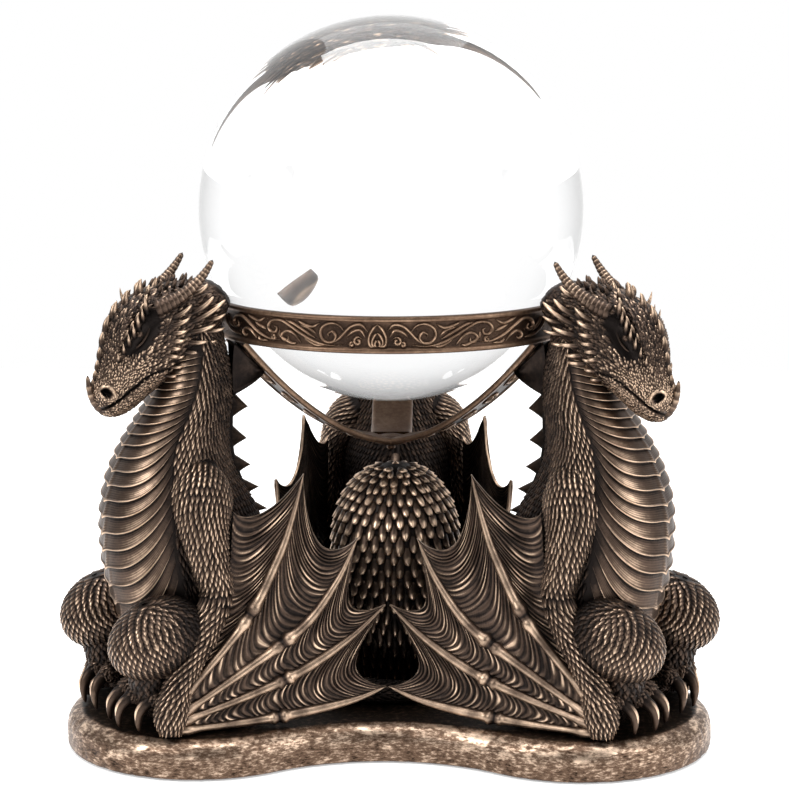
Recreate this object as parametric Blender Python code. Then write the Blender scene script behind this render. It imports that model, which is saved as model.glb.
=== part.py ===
"""Crystal ball on a cast stand: three winged dragons around a scaly egg hold up a ring for the ball.

Every length below is in millimetres and is turned into metres when a mesh is made.
Each dragon is modelled in its own frame: x points outward from the stand's axis, y points
sideways and z points up. Three empties turn that frame to the three dragons' directions.
Heights are measured from a level inside the base; the stand's own empty lifts everything by
STAND_LIFT, so that the felt pad's underside is at zero.
"""
import math

import bpy
from mathutils import Vector

MM = 0.001
GAP = 0.3                      # clearance between neighbouring pieces
SHARP_ANGLE = 40.0             # edges that turn by more degrees than this stay sharp

# Ball and ring
BALL_RADIUS = 55.0
BALL_CENTRE_Z = 145.0
BALL_SEGMENTS = 34
RING_TOP = 121.0
RING_HEIGHT = 10.0
RING_INNER = 49.9
RING_OUTER = 52.1
RING_BAND_DEPTH = 0.5
RING_RIM = 1.6
RING_CHAMFER = 0.3
RING_SEGMENTS = 48

# Cradle of three curved arms under the ball
CRADLE_BOTTOM_Z = 78.0
CRADLE_RISE = 30.6
CRADLE_RISE_RADIUS = 46.5
CRADLE_POWER = 1.8
CRADLE_END_RADIUS = 47.6
CRADLE_WIDTH = 12.0
CRADLE_THICKNESS = 2.5
CRADLE_CHAMFER = 0.7
CRADLE_EDGE_SHARE = 0.6        # depth of the strap's lower edge line, as a share of its thickness
CRADLE_STEPS = 10
SLOPE_STEP = 0.1
BOSS_RADIUS = 6.0
BOSS_BOTTOM_Z = 73.6
BOSS_FOOT = ((2.4, 0.0), (4.4, 0.9), (BOSS_RADIUS, 2.4))     # radius, height above the boss's bottom
BOSS_CROWN = ((BOSS_RADIUS, -0.4), (4.6, 0.6), (1.6, 1.2))   # radius, height above the cradle's bottom
BOSS_SEGMENTS = 16

# Base and felt pad
STAND_LIFT = 2.4
FELT_THICKNESS = 1.0
FELT_INSET = 3.0
BASE_TOP = 8.0
# The base's rounded edge: inset from the outline and share of the base's height
BASE_EDGE = ((1.0, 0.0), (0.2, 0.07), (0.0, 0.3), (0.3, 0.62), (1.5, 0.86), (4.2, 1.0))
LOBE_DISTANCE = 60.3
LOBE_RADIUS = 38.6
LOBE_STEPS = 8
NOTCH_RADIUS = 52.5
NOTCH_STEPS = 6

# Egg
EGG_TOP = 72.3
EGG_WIDEST_Z = 47.7
EGG_RADIUS = 18.6
EGG_FOOT_RADIUS = 10.0
EGG_TIP_RADIUS = 0.8
EGG_SEGMENTS = 18
EGG_LOWER_STEPS = 6
EGG_UPPER_STEPS = 7
EGG_QUARTER_STEPS = 7.6        # steps in a full quarter turn, of which the flat tip takes the last part

DRAGON_DIRECTIONS = (-150.0, -30.0, 90.0)

# Dragon body: (front r, front z, back r, back z, half width) from the rump up to the neck
TORSO_STATIONS = (
    (70.0, 8.3, 47.0, 8.3, 9.0),
    (75.5, 18.0, 44.5, 20.0, 12.0),
    (80.0, 29.0, 43.0, 34.0, 13.5),
    (84.0, 40.0, 42.5, 47.0, 14.0),
    (88.1, 50.0, 43.0, 55.0, 14.0),
    (89.0, 60.0, 44.0, 61.5, 14.0),
    (88.5, 67.4, 46.3, 66.5, 14.0),
    (87.0, 73.0, 49.4, 73.0, 13.6),
    (85.3, 78.3, 51.5, 79.5, 12.6),
    (83.0, 83.8, 51.4, 87.5, 11.2),
    (79.5, 89.0, 49.6, 94.5, 10.3),
    (75.6, 94.0, 50.2, 103.0, 9.8),
    (72.2, 100.1, 52.8, 111.5, 9.8),
)
TORSO_SIDES = 16
TORSO_POWER = 2.3
# Head: (jaw r, jaw z, crown r, crown z, half width) from the neck to the snout
HEAD_STATIONS = (
    (72.4, 100.5, 53.0, 111.9, 9.8),
    (73.0, 99.9, 58.0, 123.0, 9.8),
    (75.5, 97.8, 72.0, 129.5, 10.2),
    (79.2, 94.6, 81.5, 126.5, 10.0),
    (83.7, 92.6, 88.0, 119.5, 8.4),
    (87.6, 92.6, 90.4, 110.0, 6.6),
    (91.0, 94.4, 92.0, 105.0, 5.0),
    (92.6, 97.2, 92.6, 101.6, 2.8),
)
HEAD_SIDES = 12
HEAD_POWER = 2.2
HORN_PATH = ((74.0, 7.0, 122.0), (69.0, 9.3, 127.5), (61.5, 10.2, 133.5))
HORN_RADII = (3.6, 2.6, 0.5)
HORN_SIDES = 8
NOSE_HORN_PATH = ((90.4, 0.0, 103.4), (93.2, 0.0, 105.4), (93.9, 0.0, 109.2))
NOSE_HORN_RADII = (2.4, 1.6, 0.4)
# Cheek spikes: the lowest root, how the roots go back and up, and how each tip leaves its root
FRILL_ROOT = (73.5, 6.5, 108.0)
FRILL_SETBACK = 1.5
FRILL_RISE = 13.0
FRILL_SPIKES = 3
FRILL_LENGTH = 14.0
FRILL_BACKWARD = 0.9
FRILL_SIDEWAYS = 6.5
FRILL_LOW_TILT = 0.05
FRILL_TILT_STEP = 0.35
FRILL_BEND = 0.6
FRILL_RADII = (2.6, 1.7, 0.3)
FRILL_SIDES = 5

THIGH_CENTRE = (81.0, 17.6, 35.0)
THIGH_RADII = (16.0, 11.8, 13.0)
THIGH_SEGMENTS = 12
THIGH_LEVELS = 7
THIGH_CLEARANCE = GAP + 0.1
SHANK_PATH = ((85.0, 16.5, 29.0), (84.0, 15.0, 19.0), (84.0, 12.8, 14.0))
SHANK_RADII = (8.5, 7.6, 5.2)
SHANK_SIDES = 8
FOOT_CENTRE = (85.5, 12.8, 13.0)
FOOT_RADII = (6.6, 8.2, 4.6)
FOOT_SEGMENTS = 10
FOOT_LEVELS = 5
ANKLE = (83.0, 13.0, 13.6)
TOE_SPREAD = (4.2, 12.6, 20.6)
TOE_REACH = (93.0, 95.0, 90.5)
TOE_RADII = (4.6, 3.6, 2.4, 0.6)
TOE_SIDES = 6
KNUCKLE_SHARE = 0.5            # places between the ankle and a claw's tip, and heights above the base
KNUCKLE_RISE = 4.6
CLAW_SHARE = 0.75
CLAW_RISE = 3.6
CLAW_TIP_RISE = 1.2

ARM_PATH = ((64.0, 14.3, 71.5), (65.5, 19.0, 62.0), (65.0, 20.6, 53.0), (65.2, 21.2, 45.0),
            (70.5, 22.4, 33.0), (75.5, 23.6, 22.5), (79.6, 24.5, 12.8))
ARM_RADII = ((8.6, 9.4), (7.0, 4.6), (6.2, 4.9), (5.4, 5.0), (4.8, 4.4), (4.0, 3.8), (3.4, 3.4))
ARM_SIDES = 8

# Wing fingers in (r, y, z), each starting at the wrist
WING_FINGERS = (
    ((79.0, 24.6, 15.0), (72.0, 23.6, 29.0), (63.5, 22.6, 42.0), (60.5, 23.0, 55.0), (59.5, 22.8, 66.0)),
    ((78.4, 24.9, 14.0), (58.1, 26.0, 39.5), (50.0, 27.0, 54.5), (46.0, 27.6, 65.0), (42.7, 28.2, 77.0)),
    ((77.8, 25.2, 13.0), (60.0, 28.2, 26.0), (44.5, 32.0, 36.0), (36.0, 34.6, 47.5), (30.4, 36.2, 59.3)),
    ((77.2, 25.4, 12.2), (59.0, 28.8, 18.6), (45.0, 32.2, 23.6), (32.0, 35.0, 31.5), (22.6, 37.2, 39.6)),
    ((76.6, 25.5, 11.2), (60.0, 29.0, 10.7), (46.0, 33.0, 11.9), (32.0, 36.4, 14.0), (23.2, 38.6, 17.0)),
)
WING_STEPS_ALONG = 7
WING_STEPS_ACROSS = 3
WING_SCALLOP = 0.17
WING_BONE_THICKNESS = 2.8
WING_SKIN_THICKNESS = 1.3

TAIL_PATH = ((43.6, 0.0, 15.5), (37.0, 5.0, 13.2), (31.5, 13.0, 12.4), (24.0, 22.5, 11.9),
             (13.0, 29.5, 11.4), (1.0, 32.0, 10.9), (-10.0, 30.0, 10.2))
TAIL_RADII = (6.4, 4.8, 4.0, 3.5, 3.0, 2.4, 0.9)
TAIL_SIDES = 10

# The back crest runs between these torso stations
CREST_FIRST = 4
CREST_LAST = 11
CREST_STRIP = 1.2
CREST_FIN = 3.6
CREST_FIN_DROP = 0.2
CREST_TIP_SHARE = 0.25
CREST_THICKNESS = 2.0
CREST_SINK = 0.1

BRACKET_NECK_SIDE = ((49.2, 96.4), (49.6, 103.4))
BRACKET_REACH = 42.0
BRACKET_WIDTH = 5.0
BRACKET_STEPS = 3


def clear_scene():
    for old in list(bpy.data.objects):
        bpy.data.objects.remove(old, do_unlink=True)


def make_material(name, colour, roughness, metallic, alpha=1.0):
    material = bpy.data.materials.new(name)
    material.use_nodes = True
    shader = material.node_tree.nodes["Principled BSDF"]
    shader.inputs["Base Color"].default_value = (*colour, 1.0)
    shader.inputs["Roughness"].default_value = roughness
    shader.inputs["Metallic"].default_value = metallic
    shader.inputs["Alpha"].default_value = alpha
    return material


def make_mesh(name, points, faces):
    mesh = bpy.data.meshes.new(name)
    mesh.from_pydata([Vector(point) * MM for point in points], [], faces)
    mesh.validate()
    mesh.shade_smooth()
    mesh.set_sharp_from_angle(angle=math.radians(SHARP_ANGLE))
    return mesh


def add_object(name, mesh, material=None, parent=None):
    item = bpy.data.objects.new(name, mesh)
    bpy.context.scene.collection.objects.link(item)
    if material is not None and not mesh.materials:
        mesh.materials.append(material)
    item.parent = parent
    return item


def add_frame(name, parent=None, height=0.0, direction=0.0):
    """An empty that carries pieces: a height in millimetres and a turn about Z in degrees."""
    frame = add_object(name, None, parent=parent)
    frame.location.z = height * MM
    frame.rotation_euler.z = math.radians(direction)
    return frame


def loft(rings):
    """Join rings of points into one closed body with flat ends, faces pointing out."""
    count = len(rings[0])
    points = [point for ring in rings for point in ring]
    faces = [tuple(range(count - 1, -1, -1))]
    for level in range(len(rings) - 1):
        start = level * count
        for index in range(count):
            following = (index + 1) % count
            faces.append((start + index, start + following,
                          start + count + following, start + count + index))
    last = (len(rings) - 1) * count
    faces.append(tuple(range(last, last + count)))
    return points, faces


def ellipse(centre, first, second, count, power=2.0):
    """Points around a centre in the plane of two half-axis vectors; a higher power is squarer."""
    points = []
    for index in range(count):
        angle = 2.0 * math.pi * index / count
        cosine = math.cos(angle)
        sine = math.sin(angle)
        along = math.copysign(abs(cosine) ** (2.0 / power), cosine)
        across = math.copysign(abs(sine) ** (2.0 / power), sine)
        points.append(Vector(centre) + Vector(first) * along + Vector(second) * across)
    return points


def spine_body(stations, count, power):
    """A body symmetric about the dragon's middle plane, from pairs of front and back points."""
    rings = []
    for front_r, front_z, back_r, back_z, half_width in stations:
        front = Vector((front_r, 0.0, front_z))
        back = Vector((back_r, 0.0, back_z))
        rings.append(ellipse((front + back) / 2.0, (front - back) / 2.0, (0.0, half_width, 0.0),
                             count, power))
    return loft(rings)


def path_tangent(path, index):
    before = Vector(path[max(index - 1, 0)])
    after = Vector(path[min(index + 1, len(path) - 1)])
    return (after - before).normalized()


def tube(path, radii, sides, reference=(0.0, 1.0, 0.0), first_normal=None, grow=0.0):
    """A tapering tube; a radius may be a pair of half-widths, the second one along the reference."""
    rings = []
    for index, place in enumerate(path):
        tangent = path_tangent(path, index)
        if index == 0 and first_normal is not None:
            tangent = Vector(first_normal).normalized()
            second = Vector((0.0, 0.0, 1.0))
        else:
            second = Vector(reference)
            second = (second - tangent * second.dot(tangent)).normalized()
        first = second.cross(tangent)
        radius = radii[index]
        wide, deep = radius if isinstance(radius, tuple) else (radius, radius)
        rings.append(ellipse(place, first * (wide + grow), second * (deep + grow), sides))
    return loft(rings)


def ellipsoid(centre, radii, segments, levels, grow=0.0):
    cx, cy, cz = centre
    rx, ry, rz = (radius + grow for radius in radii)
    points = [(cx, cy, cz - rz)]
    for level in range(1, levels):
        tilt = math.pi * level / levels
        for index in range(segments):
            turn = 2.0 * math.pi * index / segments
            points.append((cx + rx * math.sin(tilt) * math.cos(turn),
                           cy + ry * math.sin(tilt) * math.sin(turn),
                           cz - rz * math.cos(tilt)))
    points.append((cx, cy, cz + rz))
    faces = []
    for index in range(segments):
        following = (index + 1) % segments
        faces.append((0, 1 + following, 1 + index))
        for level in range(levels - 2):
            low = 1 + level * segments
            high = low + segments
            faces.append((low + index, low + following, high + following, high + index))
        top = 1 + (levels - 2) * segments
        faces.append((top + index, top + following, len(points) - 1))
    return points, faces


def mirrored(body):
    points, faces = body
    return [(point[0], -point[1], point[2]) for point in points], [tuple(reversed(face)) for face in faces]


def fuse(name, body, additions=(), cutters=()):
    """Union the additions with the body, cut the cutters away and return the finished mesh."""
    item = add_object(name, make_mesh(name, *body))
    helpers = []
    for operation, shapes in (("UNION", additions), ("DIFFERENCE", cutters)):
        for shape in shapes:
            helper = add_object(name + "_helper", make_mesh(name + "_helper", *shape))
            helpers.append(helper)
            step = item.modifiers.new(operation.lower(), "BOOLEAN")
            step.operation = operation
            step.solver = "EXACT"
            step.object = helper
    graph = bpy.context.evaluated_depsgraph_get()
    mesh = bpy.data.meshes.new_from_object(item.evaluated_get(graph))
    for used in [item] + helpers:
        bpy.data.objects.remove(used, do_unlink=True)
    mesh.name = name
    mesh.shade_smooth()
    mesh.set_sharp_from_angle(angle=math.radians(SHARP_ANGLE))
    return mesh


def turned(profile, segments):
    """Turn a closed (radius, z) profile, listed anticlockwise with r to the right, about the Z axis."""
    count = len(profile)
    points = []
    faces = []
    for index in range(segments):
        angle = 2.0 * math.pi * index / segments
        points += [(radius * math.cos(angle), radius * math.sin(angle), z) for radius, z in profile]
        start = index * count
        following = ((index + 1) % segments) * count
        for place in range(count):
            after = (place + 1) % count
            faces.append((start + place, following + place, following + after, start + after))
    return points, faces


def turned_solid(profile, segments):
    """Turn an open (radius, z) profile that runs bottom to top, closed by flat discs at its ends."""
    rings = [[(radius * math.cos(2.0 * math.pi * index / segments),
               radius * math.sin(2.0 * math.pi * index / segments), z) for index in range(segments)]
             for radius, z in profile]
    return loft(rings)


def plate(outline, half_width):
    """A flat plate: an (r, z) outline, listed anticlockwise seen from -y, in the middle plane."""
    front = [(r, -half_width, z) for r, z in outline]
    back = [(r, half_width, z) for r, z in outline]
    return loft([back, front])


def trefoil(inset):
    """The base's outline: three convex lobes joined by tangent hollow arcs, moved inward by inset."""
    hollow = ((LOBE_RADIUS ** 2 - NOTCH_RADIUS ** 2 - LOBE_DISTANCE ** 2 + NOTCH_RADIUS * LOBE_DISTANCE)
              / (2.0 * NOTCH_RADIUS - LOBE_DISTANCE - 2.0 * LOBE_RADIUS))
    hollow_distance = NOTCH_RADIUS + hollow
    half_turn = math.pi / len(DRAGON_DIRECTIONS)
    hollow_x = hollow_distance * math.cos(half_turn)
    hollow_y = hollow_distance * math.sin(half_turn)
    lobe_end = math.atan2(hollow_y, hollow_x - LOBE_DISTANCE)
    hollow_end = lobe_end + math.pi
    hollow_middle = half_turn + math.pi
    outline = []
    for direction in DRAGON_DIRECTIONS:
        turn = math.radians(direction)
        arc = []
        for step in range(-LOBE_STEPS, LOBE_STEPS + 1):
            angle = lobe_end * step / LOBE_STEPS
            radius = LOBE_RADIUS - inset
            arc.append((LOBE_DISTANCE + radius * math.cos(angle), radius * math.sin(angle)))
        for step in range(1, NOTCH_STEPS):
            angle = hollow_end + 2.0 * (hollow_middle - hollow_end) * step / NOTCH_STEPS
            radius = hollow + inset
            arc.append((hollow_x + radius * math.cos(angle), hollow_y + radius * math.sin(angle)))
        outline += [(x * math.cos(turn) - y * math.sin(turn), x * math.sin(turn) + y * math.cos(turn))
                    for x, y in arc]
    return outline


def stacked_outline(levels):
    return loft([[(x, y, z) for x, y in trefoil(inset)] for inset, z in levels])


def cradle_height(radius):
    return CRADLE_BOTTOM_Z + CRADLE_RISE * (radius / CRADLE_RISE_RADIUS) ** CRADLE_POWER


def into_cradle(radius):
    """The direction from the cradle's upper face into its thickness."""
    rise = cradle_height(radius + SLOPE_STEP) - cradle_height(radius - SLOPE_STEP)
    return Vector((rise / (2.0 * SLOPE_STEP), 0.0, -1.0)).normalized()


def cradle_arm():
    """A strap that curves up from the boss to the ring's underside."""
    start = BOSS_RADIUS + GAP
    half = CRADLE_WIDTH / 2.0
    narrow = half - CRADLE_CHAMFER
    side = Vector((0.0, 1.0, 0.0))
    rings = []
    for step in range(CRADLE_STEPS + 1):
        radius = start + (CRADLE_END_RADIUS - start) * step / CRADLE_STEPS
        down = into_cradle(radius)
        if step == 0:
            down = Vector((0.0, 0.0, -1.0))
        top = Vector((radius, 0.0, cradle_height(radius)))
        bottom = top + down * CRADLE_THICKNESS
        lower_edge = top + down * (CRADLE_THICKNESS * CRADLE_EDGE_SHARE)
        upper_edge = (top + lower_edge) / 2.0
        rings.append([top - side * narrow, top + side * narrow, upper_edge + side * half,
                      lower_edge + side * half, bottom + side * narrow, bottom - side * narrow,
                      lower_edge - side * half, upper_edge - side * half])
    return loft([list(reversed(ring)) for ring in rings])


def bracket():
    """The gusset between the dragon's neck and the underside of its cradle arm."""
    under = []
    for step in range(BRACKET_STEPS + 1):
        radius = BRACKET_REACH + (CRADLE_END_RADIUS - BRACKET_REACH) * step / BRACKET_STEPS
        top = Vector((radius, 0.0, cradle_height(radius)))
        point = top + into_cradle(radius) * (CRADLE_THICKNESS + GAP)
        under.append((point.x, point.z))
    outline = list(BRACKET_NECK_SIDE) + list(reversed(under))
    return plate(outline, BRACKET_WIDTH / 2.0)


def curve_point(points, position):
    """A point on a smooth curve through the given points, at a position from 0 to 1."""
    spans = len(points) - 1
    place = min(position * spans, spans - 1e-6)
    index = int(place)
    local = place - index
    p1 = Vector(points[index])
    p2 = Vector(points[index + 1])
    p0 = Vector(points[index - 1]) if index > 0 else p1 * 2.0 - p2
    p3 = Vector(points[index + 2]) if index + 2 <= spans else p2 * 2.0 - p1
    return ((p1 * 2.0) + (p2 - p0) * local + (p0 * 2.0 - p1 * 5.0 + p2 * 4.0 - p3) * local ** 2
            + (p1 * 3.0 - p0 - p2 * 3.0 + p3) * local ** 3) / 2.0


def wing_sheet():
    """The folded wing: skin between four finger bones, scalloped at its free edge."""
    columns = WING_STEPS_ACROSS * (len(WING_FINGERS) - 1) + 1
    rows = WING_STEPS_ALONG + 1

    def surface(row, column):
        finger = min(column // WING_STEPS_ACROSS, len(WING_FINGERS) - 2)
        share = (column - finger * WING_STEPS_ACROSS) / WING_STEPS_ACROSS
        sag = 4.0 * share * (1.0 - share)
        position = row / WING_STEPS_ALONG
        position *= 1.0 - WING_SCALLOP * sag * position ** 2
        low = curve_point(WING_FINGERS[finger], position)
        high = curve_point(WING_FINGERS[finger + 1], position)
        return low.lerp(high, share), sag

    def normal(row, column):
        along = surface(min(row + 1, rows - 1), column)[0] - surface(max(row - 1, 0), column)[0]
        across = (surface(row, min(column + 1, columns - 1))[0]
                  - surface(row, max(column - 1, 0))[0])
        return across.cross(along).normalized()

    sides = []
    for direction in (1.0, -1.0):
        side = []
        for row in range(rows):
            for column in range(columns):
                place, sag = surface(row, column)
                thickness = WING_BONE_THICKNESS + (WING_SKIN_THICKNESS - WING_BONE_THICKNESS) * sag ** 0.5
                side.append(place + normal(row, column) * direction * thickness / 2.0)
        sides.append(side)
    points = sides[0] + sides[1]
    shift = rows * columns
    faces = []
    for row in range(rows - 1):
        for column in range(columns - 1):
            a = row * columns + column
            quad = (a, a + columns, a + columns + 1, a + 1)
            faces.append(tuple(reversed(quad)))
            faces.append(tuple(index + shift for index in quad))
    border = list(range(columns))
    border += [row * columns + columns - 1 for row in range(1, rows)]
    border += [(rows - 1) * columns + column for column in range(columns - 2, -1, -1)]
    border += [row * columns for row in range(rows - 2, 0, -1)]
    for index, first in enumerate(border):
        second = border[(index + 1) % len(border)]
        faces.append((first, first + shift, second + shift, second))
    return points, faces


def arm(grow=0.0):
    return tube(ARM_PATH, ARM_RADII, ARM_SIDES, first_normal=(0.0, 1.0, 0.0), grow=grow)


def leg_pieces():
    thigh = ellipsoid(THIGH_CENTRE, THIGH_RADII, THIGH_SEGMENTS, THIGH_LEVELS)
    parts = [tube(SHANK_PATH, SHANK_RADII, SHANK_SIDES),
             ellipsoid(FOOT_CENTRE, FOOT_RADII, FOOT_SEGMENTS, FOOT_LEVELS)]
    ankle = Vector(ANKLE)
    for sideways, reach in zip(TOE_SPREAD, TOE_REACH):
        tip = Vector((reach, sideways, BASE_TOP + CLAW_TIP_RISE))
        knuckle = ankle.lerp(tip, KNUCKLE_SHARE)
        knuckle.z = BASE_TOP + KNUCKLE_RISE
        claw = ankle.lerp(tip, CLAW_SHARE)
        claw.z = BASE_TOP + CLAW_RISE
        parts.append(tube((ankle, knuckle, claw, tip), TOE_RADII, TOE_SIDES))
    return thigh, parts


def head_spikes():
    spikes = [tube(NOSE_HORN_PATH, NOSE_HORN_RADII, HORN_SIDES)]
    for side in (1.0, -1.0):
        path = [(r, y * side, z) for r, y, z in HORN_PATH]
        spikes.append(tube(path, HORN_RADII, HORN_SIDES))
        for index in range(FRILL_SPIKES):
            share = index / (FRILL_SPIKES - 1)
            root = Vector((FRILL_ROOT[0] - FRILL_SETBACK * share, FRILL_ROOT[1] * side,
                           FRILL_ROOT[2] + FRILL_RISE * share))
            tip = root + Vector((-FRILL_LENGTH * FRILL_BACKWARD, FRILL_SIDEWAYS * side,
                                 FRILL_LENGTH * (FRILL_LOW_TILT + FRILL_TILT_STEP * share)))
            spikes.append(tube((root, root.lerp(tip, FRILL_BEND), tip), FRILL_RADII, FRILL_SIDES))
    return spikes


def crest_plate():
    """The row of fins down the dragon's back, on one narrow strip that follows the spine."""
    backs = TORSO_STATIONS[CREST_FIRST:CREST_LAST]
    spine = [(station[2] - GAP - CREST_SINK, station[3]) for station in backs]
    fins = []
    for index in range(len(spine) - 1, 0, -1):
        upper_r, upper_z = spine[index]
        lower_r, lower_z = spine[index - 1]
        fins.append((upper_r - CREST_STRIP, upper_z - CREST_FIN_DROP))
        fins.append(((upper_r + lower_r) / 2.0 - CREST_FIN, lower_z + (upper_z - lower_z) * CREST_TIP_SHARE))
    fins.append((spine[0][0] - CREST_STRIP, spine[0][1]))
    return plate(spine + fins, CREST_THICKNESS / 2.0)


def build_dragons(stand, bronze):
    left_arm = arm()
    wing_left = fuse("wing_left", wing_sheet(), [left_arm])
    wing_right = fuse("wing_right", mirrored(wing_sheet()), [mirrored(left_arm)])
    thigh, extras = leg_pieces()
    wide_arm = arm(grow=GAP)
    leg_left = fuse("leg_left", thigh, extras, [wide_arm])
    leg_right = fuse("leg_right", mirrored(thigh), [mirrored(piece) for piece in extras],
                     [mirrored(wide_arm)])
    wide_thigh = ellipsoid(THIGH_CENTRE, THIGH_RADII, THIGH_SEGMENTS, THIGH_LEVELS, grow=THIGH_CLEARANCE)
    torso = fuse("torso", spine_body(TORSO_STATIONS, TORSO_SIDES, TORSO_POWER), [],
                 [wide_thigh, mirrored(wide_thigh)])
    head = fuse("head", spine_body(HEAD_STATIONS, HEAD_SIDES, HEAD_POWER), head_spikes())
    tail = make_mesh("tail", *tube(TAIL_PATH, TAIL_RADII, TAIL_SIDES, first_normal=(-1.0, 0.0, 0.0)))
    crest_mesh = make_mesh("crest", *crest_plate())
    arm_mesh = make_mesh("cradle_arm", *cradle_arm())
    bracket_mesh = make_mesh("bracket", *bracket())
    shapes = {"torso": torso, "head": head, "left_wing": wing_left, "right_wing": wing_right,
              "left_leg": leg_left, "right_leg": leg_right, "tail": tail, "back_crest": crest_mesh}
    for number, direction in enumerate(DRAGON_DIRECTIONS, 1):
        frame = add_frame(f"dragon_{number}_frame", stand, direction=direction)
        for label, mesh in shapes.items():
            add_object(f"dragon_{number}_{label}", mesh, bronze, frame)
        add_object(f"cradle_arm_{number}", arm_mesh, bronze, frame)
        add_object(f"cradle_bracket_{number}", bracket_mesh, bronze, frame)


def build_egg(stand, bronze):
    foot = BASE_TOP + GAP
    profile = [(EGG_FOOT_RADIUS, foot)]
    for step in range(1, EGG_LOWER_STEPS + 1):
        share = step / EGG_LOWER_STEPS
        radius = EGG_FOOT_RADIUS + (EGG_RADIUS - EGG_FOOT_RADIUS) * math.sin(math.pi / 2.0 * share)
        profile.append((radius, foot + (EGG_WIDEST_Z - foot) * share))
    for step in range(1, EGG_UPPER_STEPS + 1):
        angle = math.pi / 2.0 * step / EGG_QUARTER_STEPS
        height = (EGG_TOP - EGG_WIDEST_Z) * math.sin(angle)
        profile.append((EGG_RADIUS * math.cos(angle), EGG_WIDEST_Z + height))
    profile.append((EGG_TIP_RADIUS, EGG_TOP))
    add_object("dragon_egg", make_mesh("dragon_egg", *turned_solid(profile, EGG_SEGMENTS)), bronze, stand)


def build_boss(stand, bronze):
    profile = [(radius, BOSS_BOTTOM_Z + height) for radius, height in BOSS_FOOT]
    profile += [(radius, CRADLE_BOTTOM_Z + height) for radius, height in BOSS_CROWN]
    mesh = make_mesh("cradle_boss", *turned_solid(profile, BOSS_SEGMENTS))
    add_object("cradle_boss", mesh, bronze, stand)


def build_ring(stand, bronze):
    bottom = RING_TOP - RING_HEIGHT
    band = RING_OUTER - RING_BAND_DEPTH
    profile = [(RING_INNER, RING_TOP), (RING_INNER, bottom), (RING_OUTER, bottom),
               (RING_OUTER, bottom + RING_RIM), (band, bottom + RING_RIM + RING_CHAMFER),
               (band, RING_TOP - RING_RIM - RING_CHAMFER), (RING_OUTER, RING_TOP - RING_RIM),
               (RING_OUTER, RING_TOP)]
    add_object("ball_ring", make_mesh("ball_ring", *turned(profile, RING_SEGMENTS)), bronze, stand)


def build_base(stand, bronze, felt):
    bottom = FELT_THICKNESS + GAP - STAND_LIFT
    levels = [(inset, bottom + (BASE_TOP - bottom) * share) for inset, share in BASE_EDGE]
    add_object("base_plinth", make_mesh("base_plinth", *stacked_outline(levels)), bronze, stand)
    pad = stacked_outline([(FELT_INSET, -STAND_LIFT), (FELT_INSET, FELT_THICKNESS - STAND_LIFT)])
    add_object("felt_pad", make_mesh("felt_pad", *pad), felt, stand)


def build_ball(stand, glass):
    radii = (BALL_RADIUS, BALL_RADIUS, BALL_RADIUS)
    sphere = ellipsoid((0.0, 0.0, 0.0), radii, BALL_SEGMENTS, BALL_SEGMENTS // 2)
    ball = add_object("crystal_ball", make_mesh("crystal_ball", *sphere), glass, stand)
    ball.location.z = BALL_CENTRE_Z * MM


def main():
    clear_scene()
    bronze = make_material("cast_bronze", (0.20, 0.12, 0.07), 0.42, 0.85)
    ring_bronze = make_material("ring_bronze", (0.42, 0.30, 0.18), 0.32, 0.9)
    felt = make_material("felt", (0.03, 0.03, 0.03), 0.95, 0.0)
    glass = make_material("clear_glass", (0.95, 0.97, 0.98), 0.02, 0.0, 0.35)
    stand = add_frame("stand_frame", height=STAND_LIFT)
    build_dragons(stand, bronze)
    build_egg(stand, bronze)
    build_boss(stand, bronze)
    build_ring(stand, ring_bronze)
    build_base(stand, bronze, felt)
    build_ball(stand, glass)


main()
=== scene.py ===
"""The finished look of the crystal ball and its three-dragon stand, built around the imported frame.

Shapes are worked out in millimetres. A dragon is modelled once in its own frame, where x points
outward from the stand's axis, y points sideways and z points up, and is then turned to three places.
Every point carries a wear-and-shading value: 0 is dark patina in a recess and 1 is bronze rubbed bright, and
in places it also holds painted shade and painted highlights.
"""
import math

import bpy
import numpy as np
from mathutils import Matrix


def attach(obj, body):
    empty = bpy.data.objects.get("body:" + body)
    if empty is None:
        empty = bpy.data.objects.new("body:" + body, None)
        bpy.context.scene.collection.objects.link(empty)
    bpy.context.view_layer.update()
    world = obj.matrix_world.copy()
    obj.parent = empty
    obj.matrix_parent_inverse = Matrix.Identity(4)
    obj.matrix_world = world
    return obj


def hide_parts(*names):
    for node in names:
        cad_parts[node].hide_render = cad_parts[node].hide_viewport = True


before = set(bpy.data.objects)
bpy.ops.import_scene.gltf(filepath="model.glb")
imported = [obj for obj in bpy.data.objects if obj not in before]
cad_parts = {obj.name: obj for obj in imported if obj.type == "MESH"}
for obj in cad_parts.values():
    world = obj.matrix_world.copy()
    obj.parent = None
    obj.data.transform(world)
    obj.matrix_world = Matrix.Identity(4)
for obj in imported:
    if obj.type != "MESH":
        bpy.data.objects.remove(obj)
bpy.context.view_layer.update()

MM = 0.001
BALL_RADIUS = 55.0
BALL_CENTRE_Z = 145.0
# heights here are measured from a level inside the base, and every piece is lifted by this much
STAND_LIFT = 2.4
RANDOM = np.random.default_rng(11)
DRAGON_DIRECTIONS = (-150.0, -30.0, 90.0)
# how far, in degrees, the necks and heads are swung round the stand's axis from those directions
NECK_SWINGS = (0.0, -2.0, -0.4)
HEAD_SWINGS = (0.0, -3.6, -2.4)
TAU = 2.0 * math.pi

# ---------------------------------------------------------------- meshes


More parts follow.
